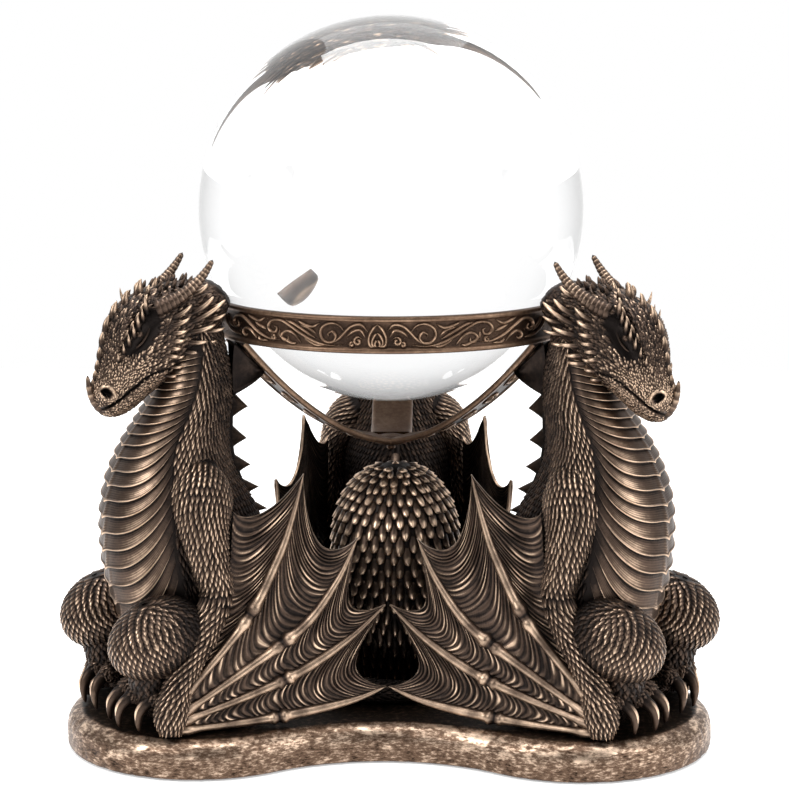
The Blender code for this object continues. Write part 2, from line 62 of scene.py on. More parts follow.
class Shape:
    """Points, faces and wear-and-shading values that are gathered and then turned into one mesh."""

    def __init__(self):
        self.points = []
        self.wear = []
        self.quads = []
        self.triangles = []
        self.total = 0

    def add(self, points, quads=(), triangles=(), wear=0.5):
        points = np.asarray(points, float).reshape(-1, 3)
        wear = np.asarray(wear, float).ravel()
        self.points.append(points)
        self.wear.append(np.broadcast_to(wear, (len(points),)))
        if len(quads):
            self.quads.append(np.asarray(quads, int) + self.total)
        if len(triangles):
            self.triangles.append(np.asarray(triangles, int) + self.total)
        self.total += len(points)

    def mesh(self, name, mirrored=False, sharp=None):
        points = np.concatenate(self.points) * MM
        quads = np.concatenate(self.quads) if self.quads else np.zeros((0, 4), int)
        triangles = np.concatenate(self.triangles) if self.triangles else np.zeros((0, 3), int)
        if mirrored:
            points = points * (1.0, -1.0, 1.0)
            quads = quads[:, ::-1]
            triangles = triangles[:, ::-1]
        mesh = bpy.data.meshes.new(name)
        mesh.vertices.add(len(points))
        mesh.vertices.foreach_set("co", points.ravel())
        corners = np.concatenate([quads.ravel(), triangles.ravel()])
        mesh.loops.add(len(corners))
        mesh.loops.foreach_set("vertex_index", corners)
        starts = np.concatenate([np.arange(len(quads)) * 4, len(quads) * 4 + np.arange(len(triangles)) * 3])
        mesh.polygons.add(len(starts))
        mesh.polygons.foreach_set("loop_start", starts)
        mesh.update(calc_edges=True)
        mesh.validate()
        attribute = mesh.attributes.new("wear", "FLOAT", "POINT")
        attribute.data.foreach_set("value", np.clip(np.concatenate(self.wear), 0.0, 1.0))
        mesh.shade_smooth()
        if sharp is not None:
            mesh.set_sharp_from_angle(angle=math.radians(sharp))
        return mesh


def grid_quads(rows, columns, around=False, flip=False):
    """Faces of a grid of points; around joins the last column to the first."""
    last = columns if around else columns - 1
    row, column = np.meshgrid(np.arange(rows - 1), np.arange(last), indexing="ij")
    following = (column + 1) % columns
    quads = np.stack([row * columns + column, row * columns + following,
                      (row + 1) * columns + following, (row + 1) * columns + column], -1).reshape(-1, 4)
    return quads[:, ::-1] if flip else quads


def fan(count, pole, start=0, flip=False):
    """Triangles that join a closed row of points, from start on, to one pole point."""
    faces = [(start + index, start + (index + 1) % count, pole) for index in range(count)]
    return [face[::-1] for face in faces] if flip else faces


def rim_walls(rim, offset):
    """Faces that join a line of points to the same line of points in a second sheet."""
    return np.array([(first, second, second + offset, first + offset)
                     for first, second in zip(rim[:-1], rim[1:])])


def spline(points, position):
    """A smooth curve through the points, evenly spread over positions from 0 to 1."""
    points = np.asarray(points, float)
    spans = len(points) - 1
    place = np.clip(np.asarray(position, float), 0.0, 1.0) * spans
    index = np.minimum(place.astype(int), spans - 1)
    local = (place - index)[..., None]
    padded = np.vstack([2.0 * points[0] - points[1], points, 2.0 * points[-1] - points[-2]])
    p0, p1, p2, p3 = (padded[index + step] for step in range(4))
    return (2.0 * p1 + (p2 - p0) * local + (2.0 * p0 - 5.0 * p1 + 4.0 * p2 - p3) * local ** 2
            + (3.0 * p1 - p0 - 3.0 * p2 + p3) * local ** 3) / 2.0


def unit(vectors):
    return vectors / np.maximum(np.linalg.norm(vectors, axis=-1, keepdims=True), 1e-9)


def ramp(value, low, high):
    """0 below low, 1 above high and a smooth step between them."""
    share = np.clip((np.asarray(value, float) - low) / (high - low), 0.0, 1.0)
    return share * share * (3.0 - 2.0 * share)


def bump(value, centre, width):
    return np.exp(-((np.asarray(value, float) - centre) / width) ** 2)


class Surface:
    """A surface given by point(a, b): a runs along it from 0 to 1, b across or around it."""

    def __init__(self, point, outside=1.0):
        self.point = point
        self.outside = outside

    def frame(self, a, b, step=2e-3):
        place = self.point(a, b)
        along = (self.point(a + step, b) - self.point(a - step, b)) / (2.0 * step)
        across = (self.point(a, b + step) - self.point(a, b - step)) / (2.0 * step)
        return place, along, across, unit(np.cross(across, along)) * self.outside


def tube_surface(path, radii, side=(0.0, 1.0, 0.0), outside=1.0):
    """A round or oval tube; b is 0 on the side that faces away from the side vector's turn."""
    side = np.asarray(side, float)

    def point(a, b):
        a, b = np.broadcast_arrays(np.asarray(a, float), np.asarray(b, float))
        centre = spline(path, a)
        tangent = unit(spline(path, a + 0.012) - spline(path, a - 0.012))
        second = unit(side - tangent * (tangent @ side)[..., None])
        first = np.cross(second, tangent)
        radius = spline(radii, a)
        return centre + first * (radius[..., :1] * np.cos(b)[..., None]) + second * (
            radius[..., 1:2] * np.sin(b)[..., None])

    return Surface(point, outside)


def skin(shape, surface, rows, columns, a_from=0.0, a_to=1.0, wear=0.04):
    """Covers a surface with a plain grid of faces, all the way round."""
    a, b = np.meshgrid(np.linspace(a_from, a_to, rows), np.arange(columns) * TAU / columns, indexing="ij")
    shape.add(surface.point(a, b), grid_quads(rows, columns, True, surface.outside < 0.0), wear=wear)


# ---------------------------------------------------------------- scales


def scale_template(waist=0.62, tip=0.1, blunt=2.2, rows=6, columns=5, polish=1.3):
    """One scale: (along, across, lift share, crown share, wear) per point, and its faces."""
    along = np.linspace(0.0, 1.0, rows)
    half = waist + (1.0 - waist) * np.sin(np.clip(along * 2.0, 0.0, 1.0) * math.pi / 2.0)
    half = half * (1.0 - (1.0 - tip) * np.clip((along - 0.45) / 0.55, 0.0, 1.0) ** blunt)
    across = np.linspace(-1.0, 1.0, columns)
    s, t = np.meshgrid(along, across, indexing="ij")
    crown = (1.0 - np.abs(t) ** 1.6) * (0.35 + 0.65 * s)
    wear = 0.10 + 0.55 * s ** polish * (1.0 - 0.55 * np.abs(t))
    wear = wear + 0.35 * bump(t, 0.0, 0.3) * ramp(s, 0.15 * polish, 0.8 + 0.05 * polish)
    top = np.stack([s, t * half[:, None], s, crown, wear], -1).reshape(-1, 5)
    quads = [grid_quads(rows, columns)]
    rim = list(range(columns)) + [row * columns + columns - 1 for row in range(1, rows)]
    rim += [(rows - 1) * columns + column for column in range(columns - 2, -1, -1)]
    rim += [row * columns for row in range(rows - 2, 0, -1)]
    skirt = top[rim].copy()
    skirt[:, 2] = -1.0
    skirt[:, 3] = 0.0
    skirt[:, 4] = 0.0
    count = len(top)
    walls = [(rim[(index + 1) % len(rim)], rim[index], count + index, count + (index + 1) % len(rim))
             for index in range(len(rim))]
    quads.append(np.array(walls))
    return np.vstack([top, skirt]), np.concatenate(quads)


SLIM_SCALE = scale_template(rows=4, columns=3)
RIDGED_SCALE = scale_template(waist=0.55, tip=0.06, blunt=1.5, rows=5, columns=5)
PEBBLE_SCALE = scale_template(waist=0.8, tip=0.35, blunt=1.6, rows=4, columns=3)
TONGUE_SCALE = scale_template(waist=0.55, tip=0.42, blunt=3.0, rows=9, columns=7, polish=3.0)
ROOT_DEPTH = 0.25


def lay_scales(shape, surface, a, b, length, width, lift, crown, turn=0.0, template=SLIM_SCALE, shine=1.0):
    """Puts one scale at each (a, b), wrapped on the surface, its tip raised along a."""
    points, quads = template
    a = np.asarray(a, float)
    b = np.asarray(b, float)
    length, width, lift, crown, turn, shine = (
        np.broadcast_to(np.asarray(value, float), a.shape)[:, None]
        for value in (length, width, lift, crown, turn, shine))
    _, along, across, _ = surface.frame(a, b)
    along = np.linalg.norm(along, axis=-1)[:, None]
    across = np.linalg.norm(across, axis=-1)[:, None]
    forward = points[None, :, 0] * length
    sideways = points[None, :, 1] * width / 2.0
    a_all = a[:, None] + (forward * np.cos(turn) - sideways * np.sin(turn)) / along
    b_all = b[:, None] + (forward * np.sin(turn) + sideways * np.cos(turn)) / across
    place, _, _, normal = surface.frame(a_all, b_all)
    share = points[None, :, 2]
    height = np.where(share < 0.0, -ROOT_DEPTH, -0.12 + share * lift + points[None, :, 3] * crown)
    tone = points[None, :, 4] * shine + RANDOM.normal(0.0, 0.05, a.shape)[:, None]
    tone = np.where(share < 0.0, 0.0, tone)
    faces = (quads[None] + (np.arange(len(a)) * points.shape[0])[:, None, None]).reshape(-1, 4)
    if surface.outside < 0.0:
        faces = faces[:, ::-1]
    shape.add(place + normal * height[..., None], faces, wear=tone)


def scale_places(surface, a_from, a_to, b_low, b_high, length, width, overlap=0.55, jitter=0.05):
    """Staggered rows of places along a surface: arrays of a, b, length and width."""
    a_line = np.linspace(a_from, a_to, 160)
    middle = (b_low(a_line) + b_high(a_line)) / 2.0
    steps = np.linalg.norm(np.diff(surface.point(a_line, middle), axis=0), axis=1)
    travelled = np.concatenate([[0.0], np.cumsum(steps)])
    places = []
    distance = 0.0
    row = 0
    while distance < travelled[-1]:
        a = float(np.interp(distance, travelled, a_line))
        b_line = np.linspace(float(b_low(a)), float(b_high(a)), 70)
        widths = np.linalg.norm(np.diff(surface.point(np.full(70, a), b_line), axis=0), axis=1)
        crossed = np.concatenate([[0.0], np.cumsum(widths)])
        count = max(2, int(round(crossed[-1] / float(width(a)))))
        offset = 0.25 if row % 2 else 0.75
        stations = (np.arange(count) + offset) / count * crossed[-1]
        for b in np.interp(stations, crossed, b_line):
            places.append((a, b, float(length(a)), crossed[-1] / count))
        distance += float(length(a)) * overlap
        row += 1
    places = np.array(places)
    places[:, 0] = np.clip(places[:, 0] + RANDOM.normal(0.0, jitter * 0.03, len(places)), 0.004, 0.996)
    places[:, 2] *= RANDOM.normal(1.0, jitter * 2.0, len(places))
    places[:, 3] *= RANDOM.normal(1.0, jitter, len(places))
    return places.T


def constant(value):
    return lambda a: np.full(np.shape(a), float(value))


def between(first, last):
    return lambda a: first + (last - first) * np.asarray(a, float)


def thorn(shape, root, tip, radius, bend=(0.0, 0.0, 0.0), end=0.08, sides=10, rings=9, ribs=0, flat=1.0,
          wear=(0.25, 0.95), power=0.75, side=(0.0, 1.0, 0.0)):
    """A tapering curved spike, claw or horn, end times as thick at its tip; ribs adds rings round it."""
    root = np.asarray(root, float)
    tip = np.asarray(tip, float)
    share = np.linspace(0.0, 1.0, rings)
    path = root + (tip - root) * share[:, None] + np.asarray(bend) * (4.0 * share * (1.0 - share))[:, None]
    tangent = unit(np.gradient(path, axis=0))
    side = np.asarray(side, float)
    second = unit(side - tangent * (tangent @ side)[:, None])
    first = np.cross(second, tangent)
    thickness = radius * (1.0 - share) ** power * (1.0 - end) + radius * end
    tone = wear[0] + (wear[1] - wear[0]) * ramp(share, 0.05, 0.7)
    if ribs:
        saw = (share * ribs) % 1.0
        thickness = thickness * (1.0 + 0.16 * saw)
        tone = tone * (0.35 + 0.65 * saw)
    angle = np.arange(sides) * TAU / sides
    ring = (path[:, None] + first[:, None] * (thickness[:, None] * np.cos(angle))[..., None] * flat
            + second[:, None] * (thickness[:, None] * np.sin(angle))[..., None])
    points = np.concatenate([ring.reshape(-1, 3), path[-1:] + tangent[-1] * radius * end])
    cap = fan(sides, rings * sides, (rings - 1) * sides)
    shape.add(points, grid_quads(rings, sides, around=True), cap,
              wear=np.concatenate([np.repeat(tone, sides), tone[-1:]]))


# ---------------------------------------------------------------- torso and neck

TORSO_STATIONS = np.array((
    (70.0, 112.0, 58.5, 122.5, 8.6),
    (71.5, 105.0, 55.0, 117.0, 9.4),
    (73.0, 99.0, 53.6, 111.0, 9.7),
    (75.9, 94.0, 52.0, 103.4, 9.9),
    (79.4, 89.0, 51.6, 95.0, 10.5),
    (83.0, 83.4, 52.8, 87.5, 12.2),
    (85.4, 77.9, 52.6, 79.8, 14.6),
    (87.2, 72.6, 50.4, 73.0, 16.2),
    (88.5, 66.9, 46.5, 66.6, 16.6),
    (88.9, 60.2, 44.2, 61.0, 16.4),
    (88.3, 51.5, 43.0, 54.0, 16.2),
    (86.0, 42.0, 42.5, 46.0, 16.0),
    (82.0, 31.0, 42.8, 34.0, 15.0),
    (76.5, 19.0, 44.5, 20.0, 13.0),
    (70.0, 8.4, 47.5, 8.4, 9.0),
))


def torso_point(a, b):
    a, b = np.broadcast_arrays(np.asarray(a, float), np.asarray(b, float))
    station = spline(TORSO_STATIONS, a)
    front = np.stack([station[..., 0], np.zeros(a.shape), station[..., 1]], -1)
    back = np.stack([station[..., 2], np.zeros(a.shape), station[..., 3]], -1)
    fuller = (1.0 + 0.05 * np.sin(2.0 * b) ** 2)[..., None]
    narrow = 1.0 - 0.42 * ramp(-np.cos(b), 0.0, 1.0) * (1.0 - ramp(a, 0.5, 0.75))
    sideways = np.stack([np.zeros(a.shape), station[..., 4] * narrow * np.sin(b), np.zeros(a.shape)], -1)
    return (front + back) / 2.0 + (front - back) / 2.0 * np.cos(b)[..., None] * fuller + sideways * fuller


TORSO = Surface(torso_point, -1.0)
BELLY_START = 0.04
BELLY_END = 0.86
BELLY_SCUTES = 23
BELLY_FIRST_SCUTE = 1.8
BELLY_LAST_SCUTE = 6.6


def belly_edge(a):
    """How far round the body the belly's scutes reach, in radians from the keel."""
    return np.radians(np.interp(a, (0.0, 0.15, 0.35, 0.6, 0.8, 1.0), (86.0, 80.0, 70.0, 66.0, 66.0, 60.0)))


def belly(shape):
    """Overlapping scutes from throat to rump, each swept up at its ends and pointed on the keel."""
    a_line = np.linspace(BELLY_START, BELLY_END, 400)
    keel = TORSO.point(a_line, np.zeros(400))
    travelled = np.concatenate([[0.0], np.cumsum(np.linalg.norm(np.diff(keel, axis=0), axis=1))])
    sizes = np.linspace(BELLY_FIRST_SCUTE, BELLY_LAST_SCUTE, BELLY_SCUTES)
    edges = np.concatenate([[0.0], np.cumsum(sizes)])
    edges *= travelled[-1] / edges[-1]
    fractions = np.concatenate([np.linspace(0.0, 0.8, 15), np.linspace(0.84, 1.0, 9)])
    even = np.linspace(-1, 1, 55)
    halves = np.sign(even) * np.abs(even) ** 1.15
    q = (np.arange(BELLY_SCUTES)[:, None] + fractions[None]).ravel()
    scute = np.repeat(np.arange(BELLY_SCUTES), len(fractions))
    local = np.tile(fractions, BELLY_SCUTES)
    t = halves[None]
    size = sizes[scute][:, None]
    down_share = (q / BELLY_SCUTES)[:, None]
    sweep = 3.3 * ramp(down_share, 0.15, 0.8) * np.abs(t) ** 3.6
    sweep = sweep - 2.0 * (1.0 - ramp(down_share, 0.0, 0.5)) * t ** 2
    point_down = 0.22 * np.exp(-np.abs(t) / 0.07)
    place = np.clip(q[:, None] - sweep + point_down * local[:, None], -0.5, BELLY_SCUTES)
    distance = np.interp(place, np.arange(BELLY_SCUTES + 1), edges)
    a = np.interp(distance, travelled, a_line)
    a = np.where(place < 0.0, BELLY_START + place * 0.03, a)
    b = t * belly_edge(a)
    surface_point, _, _, normal = TORSO.frame(a, b)
    f = local[:, None]
    thick = 0.16 * size ** 0.9
    lip = 0.10 * size ** 0.7 * bump(f, 0.94, 0.05)
    lines = np.sin(f * TAU * 7.0 + 1.5 * np.sin(t * 4.0 + scute[:, None]))
    grooves = 0.045 * lines * ramp(np.abs(t), 0.1, 0.4) * ramp(size, 2.3, 4.5)
    ridge = 0.42 * bump(t, 0.0, 0.045) * (0.3 + 0.7 * f)
    taper = 1.0 - 0.75 * ramp(np.abs(t), 0.8, 1.0)
    height = 0.25 + (thick * f ** 1.3 + lip) * taper + grooves + ridge * ramp(size, 2.2, 4.5)
    # painted shadow: each scute is darker just below the lip of the one above it; painted highlight: a bright
    # band part way out each scute (|t| near 0.6); the bright lip and keel line are rubbed wear
    tone = (0.08 + 0.24 * ramp(f, 0.02, 0.4) + 0.42 * bump(f, 0.95, 0.05) + 0.3 * bump(t, 0.0, 0.05) * f
            + 0.30 * bump(np.abs(t), 0.60, 0.20) * ramp(f, 0.15, 0.6) + 0.12 * lines * ramp(size, 2.3, 4.5))
    tone = tone * (1.0 - 0.7 * ramp(np.abs(t), 0.86, 1.0))
    shape.add(surface_point + normal * height[..., None],
              grid_quads(len(q), len(halves), flip=True), wear=tone)


def build_torso():
    shape = Shape()
    skin(shape, TORSO, 80, 64)
    belly(shape)
    for side in (1.0, -1.0):
        surface = Surface(lambda a, b: torso_point(a, b * side), -side)
        places = scale_places(surface, 0.0, 0.93, lambda a: belly_edge(a) + 0.05, constant(math.pi - 0.03),
                              between(2.9, 3.5), between(1.35, 1.65), jitter=0.02)
        a, b, length, width = places
        drift = -0.30 * np.sin(np.clip((a - 0.2) / 0.5, 0.0, 1.0) * math.pi)
        drift = drift + RANDOM.normal(0.0, 0.04, len(a))
        shine = 0.55 + 0.50 * bump(b, 1.35, 0.6) + 0.30 * RANDOM.random(len(a)) ** 2
        # painted shade: the flank scales darken past a = 0.45, where the flank lies deep behind the arm
        shine = shine * (1.0 - 0.65 * ramp(a, 0.45, 0.62))
        lay_scales(shape, surface, a, b, length, width * 0.98, 0.46, 0.34, turn=drift, shine=shine,
                   template=RIDGED_SCALE)
    return shape


# ---------------------------------------------------------------- wing arm

ARM_PATH = ((66.0, 9.0, 76.5), (67.5, 15.5, 71.0), (68.3, 19.3, 62.5), (67.4, 20.9, 52.5),
            (66.2, 21.6, 44.0), (70.3, 22.6, 35.2), (75.6, 23.7, 27.4), (79.6, 24.8, 20.0),
            (81.6, 25.6, 13.4), (81.9, 25.8, 8.6))
ARM_RADII = ((6.0, 6.0), (8.4, 6.6), (6.6, 5.0), (4.8, 4.8), (4.1, 4.6), (3.9, 4.3), (3.7, 4.0), (3.8, 3.9),
             (4.5, 4.1), (2.6, 2.6))
ARM = tube_surface(ARM_PATH, ARM_RADII)


def build_arm(shape):
    skin(shape, ARM, 90, 36)
    a, b, length, width = scale_places(ARM, 0.02, 0.955, constant(0.0), constant(TAU),
                                       between(3.0, 2.7), between(1.55, 1.4), jitter=0.02)
    shine = 0.76 + 0.40 * bump(np.cos(b - 1.9), 1.0, 0.9) + 0.30 * RANDOM.random(len(a)) ** 2
    turn = 0.22 + RANDOM.normal(0.0, 0.04, len(a))
    lay_scales(shape, ARM, a, b, length, width * 0.98, 0.44, 0.34, turn=turn, shine=shine,
               template=RIDGED_SCALE)


# ---------------------------------------------------------------- wing

FINGERS = (
    ((80.0, 24.6, 19.5), (69.6, 23.4, 30.5), (62.8, 22.6, 42.0), (62.0, 22.2, 54.0), (60.8, 22.0, 67.0)),
    ((81.5, 25.6, 15.6), (59.8, 26.0, 37.2), (50.2, 27.0, 54.0), (46.0, 27.6, 65.0), (42.7, 28.2, 77.0)),
    ((81.5, 26.0, 12.8), (61.2, 28.2, 24.2), (44.9, 32.0, 35.6), (36.2, 34.6, 47.3), (30.4, 36.2, 59.3)),
    ((81.5, 26.2, 11.6), (60.5, 28.8, 17.2), (45.6, 32.2, 23.2), (32.2, 35.0, 31.3), (22.4, 37.3, 39.8)),
    ((81.5, 26.2, 9.8), (61.0, 29.0, 10.0), (46.4, 33.0, 11.6), (32.2, 36.4, 13.9), (23.0, 38.8, 17.0)),
)
# how far along each finger its knuckle is; the first finger is the arm itself
KNUCKLES = (None, 0.275, 0.405, 0.415, 0.395)
# folds in each panel of skin, and how deep its outer edge is hollowed
FOLD_COUNTS = (28, 33, 34, 32)
SCALLOPS = (0.10, 0.20, 0.20, 0.22)
SKIN_THICKNESS = 0.75


def wing_panel(shape, panel):
    """The skin between two fingers: nested sagging folds, thinner than the bones, with a hollow edge."""
    rows, columns = 280, 31
    t, s = np.meshgrid(np.linspace(0.0, 1.0, rows), np.linspace(0.0, 1.0, columns), indexing="ij")
    sag = 4.0 * s * (1.0 - s)

    def place(t_values, s_values):
        t_values = np.clip(t_values, 0.0, 1.0)
        hollow = np.maximum(4.0 * s_values * (1.0 - s_values), 0.0)
        position = t_values * (1.0 - SCALLOPS[panel] * hollow ** 0.8 * t_values ** 1.2)
        share = s_values[..., None]
        upper = spline(FINGERS[panel], position)
        lower = spline(FINGERS[panel + 1], position)
        return upper * (1.0 - share) + lower * share

    base = place(t, s)
    step = 4e-3
    along = place(t + step, s) - place(t - step, s)
    across = place(t, s + step) - place(t, s - step)
    outward = unit(np.cross(across, along))
    folds = FOLD_COUNTS[panel]
    wander = 0.22 * np.sin(s * 5.0 + t * 9.0 + panel) + 0.20 * np.sin(t * 37.0 + s * 2.0 + panel * 2.0)
    phase = t ** 0.92 * folds + wander + 0.05 * np.sin(t * 97.0 + 3.3 * s) + 1.5 * sag ** 0.8
    strength = 0.52 + 0.48 * np.sin(phase * 1.7 + 3.0 * s + panel * 1.3)
    crease = np.abs(np.sin(phase * math.pi)) ** 1.3
    fine = 0.5 + 0.5 * np.sin(phase * TAU * 2.6 + 2.0 * np.sin(s * 7.0 + t * 11.0))
    envelope = ramp(t, 0.0, 0.12) * (0.35 + 0.65 * sag ** 0.5)
    height = -0.55 * sag ** 0.7 * ramp(t, 0.0, 0.4)
    height = height + envelope * ((0.34 + 0.5 * strength * t) * crease + 0.10 * fine)
    streak = 0.5 + 0.5 * np.sin(s * 9.0 + phase * 0.9 + panel) * np.sin(phase * 0.37 + 2.0)
    # painted highlights along the fold crests, partly rubbed wear as well; the inner sheet below takes a
    # darker copy as painted shade on the wing's underside
    tone = 0.07 + 0.98 * crease ** 2.6 * (0.25 + 0.75 * streak) * (0.4 + 0.6 * strength) + 0.10 * fine
    tone = tone * (0.75 + 0.25 * sag)
    outer = base + outward * height[..., None]
    inner = base - outward * (SKIN_THICKNESS + 0.2 * sag)[..., None] + outward * (height * 0.5)[..., None]
    count = rows * columns
    shape.add(np.concatenate([outer.reshape(-1, 3), inner.reshape(-1, 3)]),
              np.concatenate([grid_quads(rows, columns), grid_quads(rows, columns, flip=True) + count]),
              wear=np.concatenate([tone.ravel(), tone.ravel() * 0.7]))
    lip = 0.25 * unit(along[-1])
    rim = np.stack([outer[-1], (outer[-1] + inner[-1]) / 2.0 + lip, inner[-1]])
    shape.add(rim.reshape(-1, 3), grid_quads(3, columns), wear=0.62)


def finger_bone(shape, number):
    """A polished bone with a double-knobbed knuckle, tapering to a point past the skin."""
    rings, sides = 120, 12
    t = np.linspace(0.01, 1.0, rings)
    path = spline(FINGERS[number], t)
    tangent = unit(np.gradient(path, axis=0))
    outward = unit(np.cross(tangent, np.broadcast_to((0.0, 0.0, 1.0), tangent.shape)))
    outward = np.where(outward[:, 1:2] < 0.0, -outward, outward)
    second = np.cross(tangent, outward)
    knuckle = KNUCKLES[number]
    radius = 0.90 + 0.45 * ramp(t, 0.0, knuckle) + 0.12 * ramp(t, knuckle, knuckle + 0.12)
    radius = radius * (1.0 - 0.82 * np.clip((t - knuckle - 0.08) / (0.92 - knuckle), 0.0, 1.0) ** 1.35)
    radius += 0.62 * bump(t, knuckle - 0.026, 0.016) + 0.80 * bump(t, knuckle + 0.024, 0.020)
    radius += 0.70 * bump(t, 0.05, 0.03)
    radius = radius * (1.0 - 0.75 * ramp(t, 0.95, 1.0))
    angle = np.arange(sides) * TAU / sides
    centre = path + outward * 0.35
    ring = (centre[:, None] + outward[:, None] * (radius[:, None] * np.cos(angle) * 1.15)[..., None]
            + second[:, None] * (radius[:, None] * np.sin(angle))[..., None])
    worn = 0.10 * np.sin(t * 60.0) * bump(t, knuckle, 0.2)
    # painted shading: each bone lighter on its outer face and darker on its inner face
    tone = 0.40 + 0.24 * np.cos(angle)[None] + worn[:, None]
    tone = tone - 0.55 * bump(t, knuckle, 0.008)[:, None]
    points = np.concatenate([ring.reshape(-1, 3), centre[-1:] + tangent[-1:] * 0.3])
    cap = fan(sides, rings * sides, (rings - 1) * sides)
    shape.add(points, grid_quads(rings, sides, around=True), cap,
              wear=np.concatenate([tone.ravel(), [0.8]]))


def build_wing():
    shape = Shape()
    build_arm(shape)
    for panel in range(len(FINGERS) - 1):
        wing_panel(shape, panel)
    for number in range(1, len(FINGERS)):
        finger_bone(shape, number)
    return shape


# ---------------------------------------------------------------- hind leg

THIGH_CENTRE = np.array((82.2, 18.2, 33.8))
THIGH_TILT = math.radians(-20.0)
THIGH_HALF = (13.8, 10.3, 10.6)
SHANK_PATH = ((84.4, 17.6, 30.0), (84.2, 16.6, 22.0), (81.8, 14.8, 15.5), (78.0, 13.2, 11.6))
SHANK_RADII = ((5.0, 5.6), (4.9, 5.6), (4.1, 5.2), (3.2, 4.2))
# sideways place of each claw's tip, how far out it reaches, and the sideways place of its root
TOES = ((5.2, 91.4, 7.2), (12.8, 91.8, 14.2), (19.0, 88.6, 20.2))
TOE_RADII = ((3.8, 3.2), (3.0, 2.6), (2.5, 2.3), (1.7, 1.7))
CLAW_TIP_Z = 8.6
CLAW_ROOT_Z = 17.4
KNOBS_PER_TOE = 3


def thigh_point(a, b):
    """The bent knee and thigh: a runs down it from its top, b round it from the knee."""
    a, b = np.broadcast_arrays(np.asarray(a, float), np.asarray(b, float))
    swing = np.clip(a, 0.0, 1.0) * math.pi
    x = np.sin(swing) * np.cos(b) * THIGH_HALF[0]
    y = np.sin(swing) * np.sin(b) * THIGH_HALF[1]
    z = np.cos(swing) * THIGH_HALF[2]
    cosine, sine = math.cos(THIGH_TILT), math.sin(THIGH_TILT)
    return THIGH_CENTRE + np.stack([x * cosine - z * sine, y, x * sine + z * cosine], -1)


THIGH = Surface(thigh_point, -1.0)
SHANK = tube_surface(SHANK_PATH, SHANK_RADII)


def build_toe(shape, sideways, reach, root):
    """A scaled toe with its ridged claw and the knobs over its knuckles."""
    path = ((80.0, 14.5, 13.0), (reach - 8.6, (root * 2.0 + 14.5) / 3.0, 16.2),
            (reach - 5.0, root, 17.8), (reach - 3.2, (root + sideways) / 2.0, 16.4))
    toe = tube_surface(path, TOE_RADII)
    skin(shape, toe, 16, 16)
    a, b, length, width = scale_places(toe, 0.1, 0.9, constant(0.0), constant(TAU),
                                       constant(2.2), constant(1.5), overlap=0.52)
    lay_scales(shape, toe, a, b, length, width * 1.1, 0.38, 0.28, shine=0.6)
    base = np.array((reach - 4.4, root, CLAW_ROOT_Z))
    tip = np.array((reach - 0.4, sideways, CLAW_TIP_Z))
    thorn(shape, base, tip, 1.75, bend=(1.9, 0.0, 1.4), end=0.12, sides=14, rings=20, flat=1.15,
          wear=(0.10, 0.42), power=0.55)
    # painted highlight: a thin spike along each claw, painted bright to stand for the gleam on its edge
    thorn(shape, base + (0.9, 0.35, 0.4), tip + (0.55, 0.25, 1.2), 0.6, bend=(2.2, 0.0, 1.5), end=0.1,
          sides=8, rings=16, wear=(0.35, 0.95), power=0.5)
    for step in range(KNOBS_PER_TOE):
        knob = base + (-1.6 + 0.9 * step, 0.0, -0.4 - 0.1 * step)
        thorn(shape, knob - (0.0, 1.7, 0.0), knob + (0.0, 1.7, 0.0), 0.85, bend=(0.0, 0.0, 1.9), end=0.5,
              sides=8, rings=9, wear=(0.30, 0.66), power=0.3, side=(1.0, 0.0, 0.0))


def build_leg():
    shape = Shape()
    skin(shape, THIGH, 40, 48, 0.02, 0.98)
    a, b, length, width = scale_places(THIGH, 0.03, 0.96, constant(0.0), constant(TAU),
                                       constant(2.4), constant(1.75), overlap=0.56, jitter=0.02)
    shine = 0.60 + 0.40 * bump(a, 0.4, 0.3) + 0.30 * RANDOM.random(len(a)) ** 1.5
    # painted shade: the thigh's scales darken from the knee's front back towards the hip, on its shaded side
    shine = shine * (0.25 + 0.75 * ramp(thigh_point(a, b)[:, 0], 75.0, 85.0))
    lay_scales(shape, THIGH, a, b, length, width * 1.02, 0.34, 0.26, turn=RANDOM.normal(0.0, 0.05, len(a)),
               template=RIDGED_SCALE, shine=shine)
    skin(shape, SHANK, 30, 32)
    a, b, length, width = scale_places(SHANK, 0.10, 0.92, constant(0.0), constant(TAU),
                                       constant(2.8), constant(1.9), overlap=0.52)
    # painted shade: the shank's scales are kept dark, as it stands in the knee's shadow
    lay_scales(shape, SHANK, a, b, length, width * 1.08, 0.45, 0.34, shine=0.4)
    for sideways, reach, root in TOES:
        build_toe(shape, sideways, reach, root)
    return shape


# ---------------------------------------------------------------- head

HEAD_ORIGIN = np.array((70.0, 0.0, 116.0))
HEAD_PITCH = math.radians(40.0)
# x along the head towards the snout, then the skin's top, its underside and its half width
HEAD_PROFILE = np.array((
    (-15.0, 3.5, -8.0, 8.0),
    (-10.0, 7.2, -9.5, 8.8),
    (-5.0, 10.8, -10.4, 9.3),
    (1.0, 13.0, -10.7, 9.6),
    (6.5, 13.8, -10.8, 9.3),
    (11.4, 12.8, -10.6, 8.5),
    (15.5, 10.3, -10.0, 7.3),
    (19.6, 7.1, -9.9, 6.2),
    (23.0, 4.6, -9.6, 5.5),
    (26.0, 2.9, -8.6, 4.9),
    (28.0, 0.9, -7.3, 4.2),
    (29.2, -1.6, -6.0, 2.6),
    (29.7, -3.4, -4.6, 0.6),
))
SOCKET = (9.0, 6.4)
NOSTRIL = (25.7, 0.2)
MOUTH_LINE = ((4.0, -9.5), (8.5, -7.0), (11.5, -4.9), (15.0, -3.9), (24.0, -3.7), (29.5, -3.0), (31.0, -2.6))


